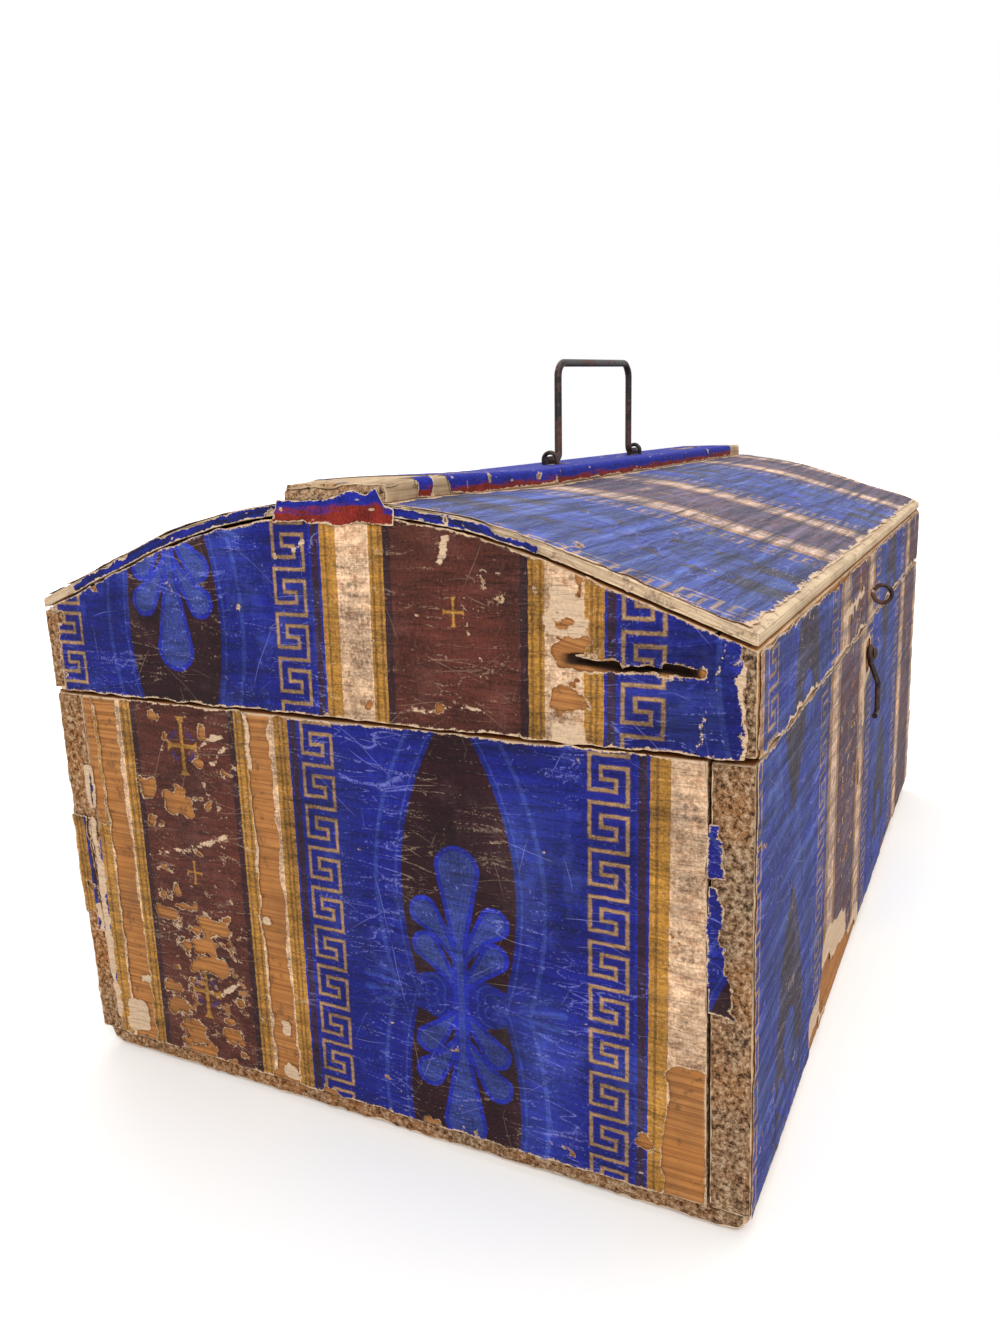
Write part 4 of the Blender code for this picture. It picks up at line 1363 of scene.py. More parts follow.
@dataclass(frozen=True)
class Sizes:
    """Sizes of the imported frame, in metres."""

    length: float = 0.480
    depth: float = 0.300
    lid_base: float = 0.1693
    apex: float = 0.248
    arc_half: float = 0.090
    slope: float = 0.38
    sheet: float = 0.004
    fit: float = 0.0003
    batten_width: float = 0.044
    batten_top: float = 0.2545
    batten_shift: float = -0.0025
    sag: float = 0.0032
    sag_start: float = -0.2275
    sag_run: float = 0.135
    rail_inside: float = 0.1375
    worn_corner: float = 0.010
    worn_corner_front: float = 0.006
    worn_corner_end: float = -0.175
    worn_corner_run: float = 0.055

    @property
    def radius(self) -> float:
        """Radius of the dome's crown."""
        return self.arc_half * math.sqrt(1 + self.slope ** 2) / self.slope

    def dome(self, y: Array, below: Array | float = 0.0) -> Array:
        """Return the height of the dome, or of the surface that lies below it.

        Args:
            y: depths.
            below: how far below the dome's top.

        Returns:
            Heights.
        """
        radius = self.radius - below
        arc = self.arc_half * radius / self.radius
        out = np.abs(y)
        fall = radius - np.sqrt(np.maximum(radius ** 2 - np.minimum(out, arc) ** 2, 0))
        return self.apex - below - fall - np.maximum(out - arc, 0) * self.slope

    def sunk(self, points: Array) -> Array:
        """Return how far points of the lid have sunk with its sagging ridge.

        Args:
            points: rows of x, y and z.

        Returns:
            Metres down.
        """
        along = np.clip((points[:, 0] - self.sag_start) / self.sag_run, 0, 1)
        across = np.clip(1 - (points[:, 1] / self.rail_inside) ** 2, 0, None)
        eave = self.dome(np.array(self.depth / 2), self.sheet)
        up = np.clip((points[:, 2] - self.lid_base) / (eave - self.lid_base), 0, 1)
        return self.sag * along ** 2 * (3 - 2 * along) * across * up

    def settled(self, points: Array, body: str) -> Array:
        """Sink the lid's ridge, or round the box's lower corners at its near end.

        Args:
            points: rows of x, y and z.
            body: the body that they belong to.

        Returns:
            The moved points.
        """
        moved = points.copy()
        if body == "lid":
            moved[:, 2] -= self.sunk(points)
        elif body == "box":
            side = np.sign(points[:, 1])
            reach = np.where(side > 0, self.worn_corner, self.worn_corner_front)
            out = np.clip((np.abs(points[:, 1]) - self.depth / 2) / reach + 1, 0, None)
            down = np.clip(1 - points[:, 2] / reach, 0, None)
            pull = 1 - np.maximum(out, down) / np.maximum(np.hypot(out, down), 1e-9)
            fade = np.clip((self.worn_corner_end - points[:, 0]) / self.worn_corner_run, 0, 1)
            pull = pull * fade * (out > 0) * (down > 0) * reach
            moved[:, 1] -= side * out * pull
            moved[:, 2] += down * pull
        return moved


SIZES = Sizes()
ALONG, ACROSS, UP = Vector((1, 0, 0)), Vector((0, 1, 0)), Vector((0, 0, 1))
HALF_LENGTH, HALF_DEPTH = SIZES.length / 2, SIZES.depth / 2


def flat_face(origin: Triple, along: Vector, up: Vector, out: Vector) -> Place:
    """Return how millimetres along, up and out of a flat face give points in metres."""
    return lambda a, b, lift: np.array(origin) + MM * (
        np.outer(a, along) + np.outer(b, up) + np.outer(lift, out))


def section_face(line: Array) -> tuple[Place, float]:
    """Return how millimetres give points of a face that follows a section along the box's length.

    Args:
        line: rows of depth and height in metres, from front to back over the top.

    Returns:
        A function of a, b and lift, and the section's length in millimetres.
    """
    steps = np.linalg.norm(np.diff(line, axis=0), axis=1)
    run = np.concatenate([[0], np.cumsum(steps)]) / MM
    tangent = np.gradient(line, axis=0)
    tangent /= np.linalg.norm(tangent, axis=1, keepdims=True)
    normal = np.stack([-tangent[:, 1], tangent[:, 0]], 1)

    def placed(a: Array, b: Array, lift: Array) -> Array:
        """Return the points of places on the section."""
        y, z = (np.interp(b, run, line[:, k]) + lift * MM * np.interp(b, run, normal[:, k]) for k in (0, 1))
        return np.stack([a * MM, y, z], 1)

    return placed, float(run[-1])


def arch_edge(a: Array, b: Array, lift: Array) -> Array:
    """Place millimetres on the bent sheet's edge at the near end of the lid.

    Args:
        a: depths.
        b: heights in the sheet.
        lift: how far they stand out.

    Returns:
        Points in metres.
    """
    under = SIZES.dome(a * MM, SIZES.sheet)
    z = under + (SIZES.dome(a * MM) - under) * b * MM / SIZES.sheet
    return np.stack([-HALF_LENGTH - lift * MM, a * MM, z], 1)


class PieceTree(Desk):
    """A Geometry Nodes tree with named inputs, which turns a helper's data into a plain mesh."""

    def __init__(self, name: str, inputs: dict[str, str]) -> None:
        """Start the tree with its inputs.

        Args:
            name: the tree's name.
            inputs: kinds of socket by name.
        """
        super().__init__(bpy.data.node_groups.new(name, "GeometryNodeTree"))
        face = self.tree.interface
        made = [face.new_socket(key, in_out="INPUT", socket_type="NodeSocket" + kind)
                for key, kind in inputs.items()]
        face.new_socket("Piece", in_out="OUTPUT", socket_type="NodeSocketGeometry")
        start = self.node("NodeGroupInput")
        self.keys = {socket.name: socket.identifier for socket in made}
        self.given = {key: Ink(self, start.outputs[key]) for key in inputs}

    def close(self, shape: Ink) -> None:
        """End the tree with real meshes of the given iron.

        Args:
            shape: the tree's geometry so far.
        """
        real = self.ink(0, "GeometryNodeRealizeInstances", None, {0: shape})
        dressed = self.ink(0, "GeometryNodeSetMaterial", None, {
            "Geometry": real, "Material": self.given["Iron"]})
        self.node("NodeGroupOutput", None, {0: dressed})

    def run(self, name: str, data: bpy.types.ID, values: dict[str, object]) -> Mesh:
        """Run the tree on a helper and keep what it makes.

        Args:
            name: the mesh's name.
            data: the helper's curve or mesh.
            values: the other inputs by name.

        Returns:
            The plain mesh.
        """
        helper = linked(bpy.data.objects.new(data.name, data))
        step = helper.modifiers.new(self.tree.name, "NODES")
        step.node_group = self.tree
        for key, value in {**values, "Iron": material_of(BLACK_IRON)}.items():
            step[self.keys[key]] = value
        bpy.context.view_layer.update()
        graph = bpy.context.evaluated_depsgraph_get()
        mesh = bpy.data.meshes.new_from_object(helper.evaluated_get(graph))
        bpy.data.objects.remove(helper, do_unlink=True)
        mesh.name = name
        mesh.materials.clear()
        return mesh


class WireTree(PieceTree):
    """Sweeps a round wire along a path, with rounded ends and hammer marks."""

    MARKS = 0.25
    MARK_SCALE = 330.0

    def __init__(self) -> None:
        """Build the tree."""
        super().__init__("swept_wire", {"Path": "Geometry", "Wire radius": "Float", "Sides": "Int",
                                        "Hammer marks": "Float", "Iron": "Material"})
        given = self.given
        profile = self.ink("Curve", "GeometryNodeCurvePrimitiveCircle", None, {
            "Radius": given["Wire radius"], "Resolution": given["Sides"]})
        swept = self.ink(0, "GeometryNodeCurveToMesh", None, {
            "Curve": given["Path"], "Profile Curve": profile, "Fill Caps": True})
        rough = self.noise(self.ink(0, "GeometryNodeInputPosition"), self.MARK_SCALE, 2.0)
        push = self.tint(self.ink(0, "GeometryNodeInputNormal"), (rough - 0.5) * given["Hammer marks"])
        self.close(self.ink(0, "GeometryNodeSetPosition", None, {"Geometry": swept, "Offset": push}))

    def sweep(self, name: str, points: Sequence[Vector], radius: float, sides: int) -> Mesh:
        """Sweep a wire along points and return its plain mesh.

        Args:
            name: the mesh's name.
            points: the path.
            radius: the wire's radius in metres.
            sides: facets round it.

        Returns:
            The mesh.
        """
        path = self.rounded_ends([Vector(p) for p in points], radius)
        curve = bpy.data.curves.new(name + "_path", "CURVE")
        curve.dimensions = "3D"
        spline = curve.splines.new("POLY")
        spline.points.add(len(path) - 1)
        for spot, (point, share) in zip(spline.points, path):
            spot.co = (*point, 1)
            spot.radius = share
        return self.run(name, curve, {
            "Wire radius": radius, "Sides": sides, "Hammer marks": self.MARKS * radius})

    @staticmethod
    def rounded_ends(points: list[Vector], radius: float) -> list[tuple[Vector, float]]:
        """Return the path with its ends drawn in to a rounded tip.

        Args:
            points: the path.
            radius: the wire's radius.

        Returns:
            Points with their share of the radius.
        """
        ends = []
        for end, inner in ((points[0], points[1]), (points[-1], points[-2])):
            inward = (inner - end).normalized()
            tip = [(end + inward * radius * 0.8 * (1 - math.sqrt(1 - share * share)), share)
                   for share in (0.30, 0.62, 0.86, 0.97)]
            ends.append(tip + [(end + inward * radius, 1.0)])
        return ends[0] + [(point, 1.0) for point in points[1:-1]] + ends[1][::-1]


class NailTree(PieceTree):
    """Drives a nail at each point of a mesh, along the point's own direction."""

    def __init__(self) -> None:
        """Build the tree."""
        super().__init__("driven_nails", {"Points": "Geometry", "Nail": "Object", "Iron": "Material"})
        shape = self.ink("Geometry", "GeometryNodeObjectInfo", None, {"Object": self.given["Nail"]})
        way = self.ink(0, "GeometryNodeInputNamedAttribute", {"data_type": "FLOAT_VECTOR"},
                       {"Name": "drive"})
        turn = self.ink(0, "FunctionNodeAlignRotationToVector", {"axis": "Z"}, {"Vector": way})
        self.close(self.ink(0, "GeometryNodeInstanceOnPoints", None, {
            "Points": self.given["Points"], "Instance": shape, "Rotation": turn}))

    @staticmethod
    def turned(profile: Sequence[tuple[float, float]], sides: int) -> Object:
        """Return a helper object turned about Z from radii and heights, top to bottom.

        Args:
            profile: radius and height pairs, the first and last on the axis.
            sides: facets round it.

        Returns:
            The object, not linked to the scene.
        """
        angles = np.arange(sides) * 2 * math.pi / sides
        points = [(0, 0, profile[0][1])]
        for radius, height in profile[1:-1]:
            points += [(radius * math.cos(t), radius * math.sin(t), height) for t in angles]
        points.append((0, 0, profile[-1][1]))
        faces = []
        rings = len(profile) - 2
        for side in range(sides):
            after = (side + 1) % sides
            faces.append((0, 1 + side, 1 + after))
            for ring in range(rings - 1):
                low, high = 1 + ring * sides, 1 + (ring + 1) * sides
                faces.append((low + side, high + side, high + after, low + after))
            base = 1 + (rings - 1) * sides
            faces.append((len(points) - 1, base + after, base + side))
        mesh = bpy.data.meshes.new("nail")
        mesh.from_pydata(points, [], faces)
        return bpy.data.objects.new("nail", mesh)

    def drive(self, name: str, spots: Sequence[tuple[Vector, Vector]], nail: Object) -> Mesh:
        """Drive a nail at each spot and return one plain mesh.

        Args:
            name: the mesh's name.
            spots: where each head's top is, and the direction that the head looks in.
            nail: the nail's helper object.

        Returns:
            The mesh.
        """
        mesh = bpy.data.meshes.new(name + "_spots")
        mesh.from_pydata([tuple(spot) for spot, _ in spots], [], [])
        vector_attribute(mesh, "drive", np.array([tuple(way) for _, way in spots]))
        made = self.run(name, mesh, {"Nail": nail})
        bpy.data.objects.remove(nail, do_unlink=True)
        return made


def nail_profile(shank: float, length: float, head: float, thick: float) -> list[tuple[float, float]]:
    """Return a hammered nail's radii and heights, from the top of its head to its point."""
    return [(0, 0), (0.55 * head, -0.06 * thick), (0.93 * head, -0.35 * thick), (head, -0.7 * thick),
            (0.96 * head, -thick), (shank, -1.05 * thick), (shank, -length + 3 * shank), (0, -length)]


def numbered(stem: str, count: int) -> list[str]:
    """Return the names of a row of CAD nodes."""
    return [f"{stem}_{number}" for number in range(1, count + 1)]


def woods(grain: Axis) -> list[Material]:
    """Return the long grain's and the end grain's materials."""
    return [material_of(WOOD_ALONG if grain is Axis.X else WOOD_ACROSS), material_of(SAWN_ENDS)]


@dataclass
class Workshop:
    """What every sub-assembly shares: the node trees of its wires and nails."""

    wires: WireTree = field(default_factory=WireTree)
    nails: NailTree = field(default_factory=NailTree)

    def drive(self, name: str, body: str, spots: Sequence[tuple[Vector, Vector]],
              profile: Sequence[tuple[float, float]], nodes: Sequence[str], sides: int = 20) -> None:
        """Drive turned nails at spots, as one piece that stands for CAD nodes."""
        mesh = self.nails.drive(name, spots, NailTree.turned(profile, sides))
        add_piece(mesh, name, body, [material_of(BLACK_IRON)], nodes)

    def wire(self, name: str, body: str, points: Sequence[Vector], radius: float, node: str,
             sides: int = 12) -> None:
        """Sweep a wire along points, as a piece that stands for a CAD node."""
        mesh = self.wires.sweep(name, points, radius, sides)
        add_piece(mesh, name, body, [material_of(BLACK_IRON)], [node], 60, False)


WOOD_ALONG = WoodFinish("bare_wood_along", Axis.X)
WOOD_ACROSS = WoodFinish("bare_wood_across", Axis.Y)
SAWN_ENDS = EndGrainFinish("sawn_ends")
PALE_ENDS = EndGrainFinish("pale_sawn_ends", Tone.SHEET, Tone.BATTEN_DARK)
BLACK_IRON = IronFinish("black_iron")
PALE_SHEET = WoodFinish(
    "pale_bent_sheet", Axis.X, Tone.SHEET, Tone.SHEET_DARK, Tone.CORE, 1.3 * MM, 0.35, 0.0)
GREY_BATTEN = WoodFinish(
    "grey_batten_wood", Axis.X, Tone.BATTEN, Tone.BATTEN_DARK, Tone.SHEET, recess_shade=Tone.BATTEN_DARK)
END_PAPER = WallpaperFinish("wallpaper_of_the_ends")
# The fade of the sides and the dome is partly a painted sheen of reflected light.
SIDE_PAPER = WallpaperFinish(
    "wallpaper_of_the_sides", fade=0.12, fleck=0.8, grime=0.3, streak=0.75, soot=0.55,
    veil=0.5, warmth=0.3)
DOME_PAPER = WallpaperFinish(
    "wallpaper_of_the_dome", fade=0.45, scratch=0.7, fleck=0.7, grime=0.4, streak=0.75, soot=0.85,
    veil=0.55, warmth=0.25, roughness=0.55)
BATTEN_PAPER = PlainPaperFinish("lining_paper_of_the_batten")
EDGE_PAPER = PlainPaperFinish("dark_paper_of_the_edge", Tone.NIGHT, Tone.BLUE_LINE, 0.5)
RED_PAPER = PlainPaperFinish("red_paper_under_the_batten", Tone.RED, Tone.BLUE_LINE, 0.5)
LONG_NAIL = nail_profile(1.1 * MM, 32 * MM, 2.4 * MM, 1.0 * MM)
TACK = nail_profile(0.8 * MM, 16 * MM, 2.0 * MM, 0.7 * MM)

LEFT_FACE = flat_face((-HALF_LENGTH, 0, 0), ACROSS, UP, -ALONG)
RIGHT_FACE = flat_face((HALF_LENGTH, 0, 0), ACROSS, UP, ALONG)
FRONT_FACE = flat_face((0, -HALF_DEPTH, 0), ALONG, UP, -ACROSS)
BACK_FACE = flat_face((0, HALF_DEPTH, 0), ALONG, UP, ACROSS)


def stripes(start: float, turn: float, lean: float = 0.0, level: float = 0.0) -> Layout:
    """Return how print lies on a face: its start, its way and its lean about a level."""
    return lambda a, b: (start + turn * a + lean * (level - b), b)


@dataclass
class Body:
    """The box itself: bottom, four sides, their nails and their paper."""

    shop: Workshop
    side_steps: Triple = (2.4 * MM, 1.2 * MM, 1.5 * MM)
    end_steps: Triple = (1.4 * MM, 1.7 * MM, 1.0 * MM)
    far_steps: Triple = (2.4 * MM, 2.4 * MM, 1.6 * MM)
    bottom_steps: Triple = (3.0 * MM, 3.0 * MM, 1.2 * MM)
    edge: float = 1.5 * MM
    bottom_edge: float = 5.0 * MM
    corner_x: float = 0.23275
    face_y: float = 0.1497
    heights: tuple[float, float] = (0.0383, 0.1390)
    bottom_x: float = 0.1955
    bottom_y: float = 0.14275
    sink: float = 0.3 * MM
    seam_gap: float = 0.9 * MM

    def boards(self) -> None:
        """Build the five boards."""
        edge = self.edge
        around = (edge,) * 6
        worn_foot = (4.0 * MM, 4.0 * MM, self.bottom_edge, self.bottom_edge, 4.5 * MM, 0.6 * MM)
        outer_foot = (2.2 * MM, 2.2 * MM, edge, edge, 2.2 * MM, edge)
        rows = (
            ("front_board", Axis.X, self.side_steps, outer_foot, 3),
            ("back_board", Axis.X, self.side_steps, outer_foot, 5),
            ("left_end_board", Axis.Y, self.end_steps, around, 7),
            ("right_end_board", Axis.Y, self.far_steps, around, 9),
            ("bottom_board", Axis.X, self.bottom_steps, worn_foot, 11),
        )
        for node, grain, steps, radii, seed in rows:
            low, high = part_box(node)
            if node != "bottom_board":
                high.z -= self.seam_gap
            board = WornBoard(node, "box", low, high, steps, radii, grain, seed)
            slot = "bare_wood" if node == "bottom_board" else "papered_wood"
            board.build(woods(grain), slot)

    def nails(self) -> None:
        """Drive the nails of the corners and the bottom."""
        ends = (-self.corner_x, self.corner_x)
        spots = [(Vector((x, side * self.face_y, z)), side * ACROSS)
                 for x in ends for z in self.heights for side in (-1, 1)]
        spots += [(Vector((x, side * self.bottom_y, self.sink)), -UP)
                  for x in (-self.bottom_x, self.bottom_x) for side in (-1, 1)]
        spots += [(Vector((x, 0, self.sink)), -UP) for x in ends]
        nodes = numbered("body_corner_nail", 8) + numbered("bottom_nail", 6)
        self.shop.drive("box_nails", "box", spots, LONG_NAIL, nodes)

    def papers(self) -> None:
        """Paper the four sides."""
        PaperSheet(
            "left_end_paper", "box", LEFT_FACE, (-134.8, 139.4, 9.2, 168.2), 1.0,
            stripes(107, -1, 0.018, 165), knot=66, cross=151, key=150.2, flip=True, seed=21, rubbed=0.1,
            tears=[Patch(121.3, 90, 11.6, 172), Patch(132.4, 142, 6.5, 62),
                   Patch(137.8, 90, 4.4, 172, 0, 2), Patch(41.4, 90, 11.4, 172),
                   flake(102.4, 131.6, 8.5, 7), flake(85.4, 125.4, 16, 7), flake(101, 116.6, 4, 2.5),
                   flake(84, 132, 5, 3), flake(69.6, 128, 3.5, 3), flake(93, 87, 2.4, 5),
                   flake(99, 82, 6.5, 3.5), flake(99.6, 75, 10, 4.5), flake(74, 73, 17, 7.5),
                   flake(67, 76.6, 5, 3), flake(81, 63, 10.5, 7), flake(78, 54, 15, 7.5),
                   flake(86, 53, 7, 5), flake(101, 39, 8, 5), flake(99, 31, 11, 7), flake(70, 22, 10.5, 6),
                   flake(91, 20, 12, 10.5), flake(89, 12, 16, 4.5), flake(69, 158, 2, 5),
                   flake(95, 163, 5, 2.5), flake(75, 145, 5, 1.6), flake(58, 142, 5, 1.5),
                   Patch(-127.6, 34, 14, 54, 3), Patch(45, 11, 9, 5), flake(20, 10.5, 6, 4),
                   flake(-28, 10.5, 9, 3), flake(95, 10, 12, 4), flake(-114, 28, 4, 2.5)],
            scraps=[Patch(136.4, 127, 6, 20), Patch(137.4, 62, 4, 66, 0, 1.5),
                    Patch(124, 20.5, 12, 16, 0, 2), Patch(127.6, 140, 1.0, 50, 0, 0.3),
                    Patch(135.4, 28, 6, 24), Patch(137.8, 100, 2.6, 26), Patch(46.6, 156, 3.4, 22),
                    Patch(45, 81, 4, 3), Patch(41, 34, 5, 7, 0, 2), Patch(39, 14, 7, 8, 0, 2),
                    Patch(118, 40, 5, 4, 0, 2), Patch(47, 110, 1.5, 20)],
            peels=[Patch(124, 20, 14, 18), Patch(41, 24, 11, 36), Patch(45, 81, 5, 4),
                   streak(105, 100, 87, 105.4, 0.1), streak(87, 105.4, 75, 109.4, 1.0),
                   streak(75, 109.4, 56, 118, 0.2), streak(104, 68, 91, 64, 0.2),
                   streak(76, 40, 64, 49, 0.4), streak(70, 152, 60, 157, 0.0),
                   streak(66, 146, 58, 152, -0.1)],
            flakes=[(Patch(80, 44, 50, 78), -0.38), (Patch(80, 118, 50, 90), -0.52),
                    (Patch(-128.5, 90, 11, 60), -0.55), (Patch(-110, 12, 300, 6), -0.5)],
            shades=[(Patch(-74, 44, 20, 60), -0.45), (Patch(-70, 130, 30, 40), -0.35),
                    (Patch(8, 120, 12, 90), -0.2), (Patch(0, 168, 290, 10), 0.3),
                    (Patch(-128, 70, 12, 40), 0.2)]).build(END_PAPER)
        PaperSheet(
            "right_end_paper", "box", RIGHT_FACE, (-137.5, 136.5, 9.4, 168.1), 1.6,
            stripes(60, 1, 0.012, 90), knot=96, cross=60, key=20, seed=23,
            tears=[flake(-126, 22, 26, 24, 20), flake(118, 14, 40, 11), flake(12, 31, 26, 8, -18),
                   streak(-60, 150, -22, 132, 1.4), flake(62, 12, 22, 8), flake(130, 120, 12, 30),
                   flake(-132, 112, 7, 40)],
            peels=[flake(-120, 30, 30, 30, 10), flake(14, 30, 32, 14, -18), flake(60, 14, 34, 12)],
            flakes=[(Patch(-33, 60, 52, 110), -0.42), (Patch(0, 20, 250, 22), -0.55)]).build(END_PAPER)
        PaperSheet(
            "front_paper", "box", FRONT_FACE, (-239.8, 238.8, 9.2, 168.2), 1.4, stripes(84.5, 1), knot=-5,
            cross=120, key=12, seed=25, rubbed=0.1,
            tears=[Patch(-70, 14, 66, 22, -10), Patch(-104, 24, 26, 22), Patch(-128, 12, 22, 8),
                   Patch(-40, 10, 50, 9), streak(-238, 141, -226, 138, 0.6), Patch(-239.8, 60, 1.4, 90),
                   Patch(-239.6, 120, 1.8, 14), Patch(237, 90, 4, 60), Patch(120, 10, 60, 5),
                   Patch(-22, 96, 5, 14, 10), Patch(-48, 128, 7, 2, -14), Patch(-66, 88, 8, 2)],
            holes=[Patch(-1.6, 151.5, 15, 17)],
            peels=[Patch(-80, 26, 66, 34, -14), Patch(-102, 34, 24, 24), Patch(-120, 18, 40, 14),
                   Patch(-30, 14, 52, 10), Patch(-12, 130, 5, 26, 6), Patch(-4, 150, 26, 24)],
            flakes=[(Patch(-57, 90, 52, 130), -0.5), (Patch(0, 168, 480, 8), -0.55),
                    (Patch(-150, 30, 160, 40), -0.6)]).build(SIDE_PAPER)
        PaperSheet(
            "back_paper", "box", BACK_FACE, (-238.4, 238.4, 9.4, 168.1), 1.7, stripes(20, -1), knot=30,
            cross=90, key=6, flip=True, seed=27,
            tears=[flake(206, 16, 60, 14, 8), flake(-120, 12, 90, 8), flake(40, 60, 10, 5, 30),
                   flake(-225, 90, 18, 26, 12), streak(90, 120, 128, 104, 1.6), flake(237, 110, 5, 60)],
            holes=[Patch(-140, 162, 25, 17), Patch(140, 162, 25, 17), Patch(-140, 150, 7, 18),
                   Patch(140, 150, 7, 18)],
            peels=[flake(-120, 18, 110, 18), flake(200, 22, 66, 20), flake(-140, 152, 34, 12),
                   flake(140, 152, 34, 14)],
            flakes=[(Patch(-4, 90, 52, 150), -0.5), (Patch(0, 14, 480, 20), -0.52)]).build(SIDE_PAPER)
        PaperSheet(
            "corner_paper_scrap", "box", LEFT_FACE, (-146.5, -135.2, 82.5, 148), 0.6, stripes(0, -1),
            flip=True, seed=29, ragged=1.2, curl=0.6, lift=0.3, rubbed=-0.4,
            tears=[streak(-142.0, 130, -149.5, 80, 9.0, 2.0), Patch(-140, 129, 12, 3),
                   Patch(-143.6, 140, 9, 20, -4, 1.5)]).build(END_PAPER)
        PaperSheet(
            "post_paper_scrap", "box", LEFT_FACE, (138.9, 149.6, 58, 113), 0.7, stripes(224, -1),
            flip=True, seed=28, ragged=1.0, curl=0.5, lift=0.25, rubbed=0.0,
            tears=[streak(140.5, 113, 138.9, 58, 1.0, 1.0), Patch(148.4, 60, 7, 16, 30, 2),
                   Patch(144, 80, 4, 3, 20, 2)],
            peels=[Patch(141, 64, 3, 14)]).build(END_PAPER)

    def build(self) -> None:
        """Build the box."""
        self.boards()
        self.nails()
        self.papers()


@dataclass
class Lid:
    """The domed lid: rails, gables, bent sheet, batten, nails and paper."""

    shop: Workshop
    edge: float = 1.3 * MM
    gable_x: float = 0.23375
    eave_y: float = 0.14375
    eave_x: float = 0.20375
    gable_tack_y: float = 0.081
    nail_z: float = 0.1862
    sink: float = 0.3 * MM
    seam_gap: float = 0.9 * MM
    batten_rise: float = 6.5 * MM
    batten_round: float = 2.0 * MM
    crack: float = 0.7 * MM
    split_level: float = 196.4
    split_depth: float = 4.2 * MM
    split_span: tuple[float, float] = (-133, -86)
    break_start: float = -0.222
    break_run: float = 0.018
    break_depth: float = 1.5 * MM

    def under(self, y: Array) -> Array:
        """Return the height where rails and gables end, below the sheet's underside."""
        return SIZES.dome(y, SIZES.sheet + SIZES.fit + self.crack)

    def arched(self, points: Array, top: float) -> Array:
        """Return heights that bring a straight board's top to the underside of the sheet."""
        share = (points[:, 2] - SIZES.lid_base) / (top - SIZES.lid_base)
        return SIZES.lid_base + share * (self.under(points[:, 1]) - SIZES.lid_base)

    def on_ridge(self, points: Array) -> Array:
        """Return heights that seat a straight strip on the dome."""
        foot = SIZES.dome(points[:, 1], -SIZES.fit)
        return foot + points[:, 2] / self.batten_rise * (SIZES.batten_top - foot)

    def split(self, points: Array) -> Array:
        """Return the depth of the split in the near gable.

        Args:
            points: the straight board's points.

        Returns:
            Metres to press each point in.
        """
        low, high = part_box("lid_left_gable")
        z = self.arched(points, high.z) / MM
        y = points[:, 1] / MM
        middle = self.split_level + 0.03 * (y + 110) + 0.5 * np.sin(y / 4.0)
        tall = np.clip(2.2 - np.abs(z - middle) / 1.0, 0, 1)
        start, end = self.split_span
        wide = np.clip((end - y) / 6, 0, 1) * np.clip((y - start) / 5, 0, 1)
        outer = points[:, 0] < low.x + 1e-6
        return self.split_depth * tall * wide * outer

    def broken_end(self, points: Array) -> Array:
        """Return how far the near end of the batten is broken away.

        Args:
            points: the straight strip's points.

        Returns:
            Metres to press each point in.
        """
        near = np.clip((self.break_start - points[:, 0]) / self.break_run, 0, 1)
        rough = 0.5 + Grit(97).layered(points[:, 0] / 0.006, points[:, 1] / 0.006, octaves=3)
        return self.break_depth * near * np.clip(rough, 0, 1.2) * (points[:, 2] > 4 * MM)

    def boards(self) -> None:
        """Build rails, gables, bent sheet and batten."""
        rail_steps = (2.4 * MM, 1.2 * MM, 1.3 * MM)
        gable_steps, far_steps = (1.6 * MM, 1.4 * MM, 0.7 * MM), (2.4 * MM, 2.2 * MM, 1.3 * MM)
        rows = (
            ("lid_front_rail", Axis.X, rail_steps, 31, None),
            ("lid_back_rail", Axis.X, rail_steps, 33, None),
            ("lid_left_gable", Axis.Y, gable_steps, 35, self.split),
            ("lid_right_gable", Axis.Y, far_steps, 37, None),
        )
        for node, grain, steps, seed, dents in rows:
            low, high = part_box(node)
            low.z += self.seam_gap
            board = WornBoard(node, "lid", low, high, steps, (self.edge,) * 6, grain, seed,
                              bend=partial(self.arched, top=high.z), dents=dents)
            board.build(woods(grain))
        sheet = WornBoard(
            "dome_sheet", "lid", Vector((-HALF_LENGTH, -HALF_DEPTH, -SIZES.sheet)),
            Vector((HALF_LENGTH, HALF_DEPTH, 0)), (3.0 * MM, 2.6 * MM, 1.0 * MM),
            (0.8 * MM, 0.8 * MM, 1.6 * MM, 1.6 * MM, 0.7 * MM, 0.9 * MM), Axis.X, 39,
            bend=lambda points: SIZES.dome(points[:, 1], np.clip(-points[:, 2], 0, None)))
        sheet.build([material_of(PALE_SHEET)] * 2)
        half, shift = SIZES.batten_width / 2, SIZES.batten_shift
        batten = WornBoard(
            "ridge_batten", "lid", Vector((-HALF_LENGTH, shift - half, 0)),
            Vector((HALF_LENGTH, shift + half, self.batten_rise)), (2.2 * MM, 1.4 * MM, 1.0 * MM),
            (2.0 * MM, 2.0 * MM, 1.8 * MM, 1.8 * MM, 0.3 * MM, self.batten_round), Axis.X, 41,
            bend=self.on_ridge, dents=self.broken_end)
        batten.build([material_of(GREY_BATTEN), material_of(PALE_ENDS)])

    def nails(self) -> None:
        """Drive the nails of the corners and batten, and the tacks of the sheet."""
        top = SIZES.batten_top - self.sink
        face = HALF_DEPTH - self.sink
        spots = []
        for x in (-self.gable_x, self.gable_x):
            spots += [(Vector((x, -face, self.nail_z)), -ACROSS), (Vector((x, face, self.nail_z)), ACROSS),
                      (Vector((x, SIZES.batten_shift, top)), UP)]
        nodes = numbered("lid_corner_nail", 4) + numbered("batten_nail", 2)
        self.shop.drive("lid_nails", "lid", spots, LONG_NAIL, nodes)

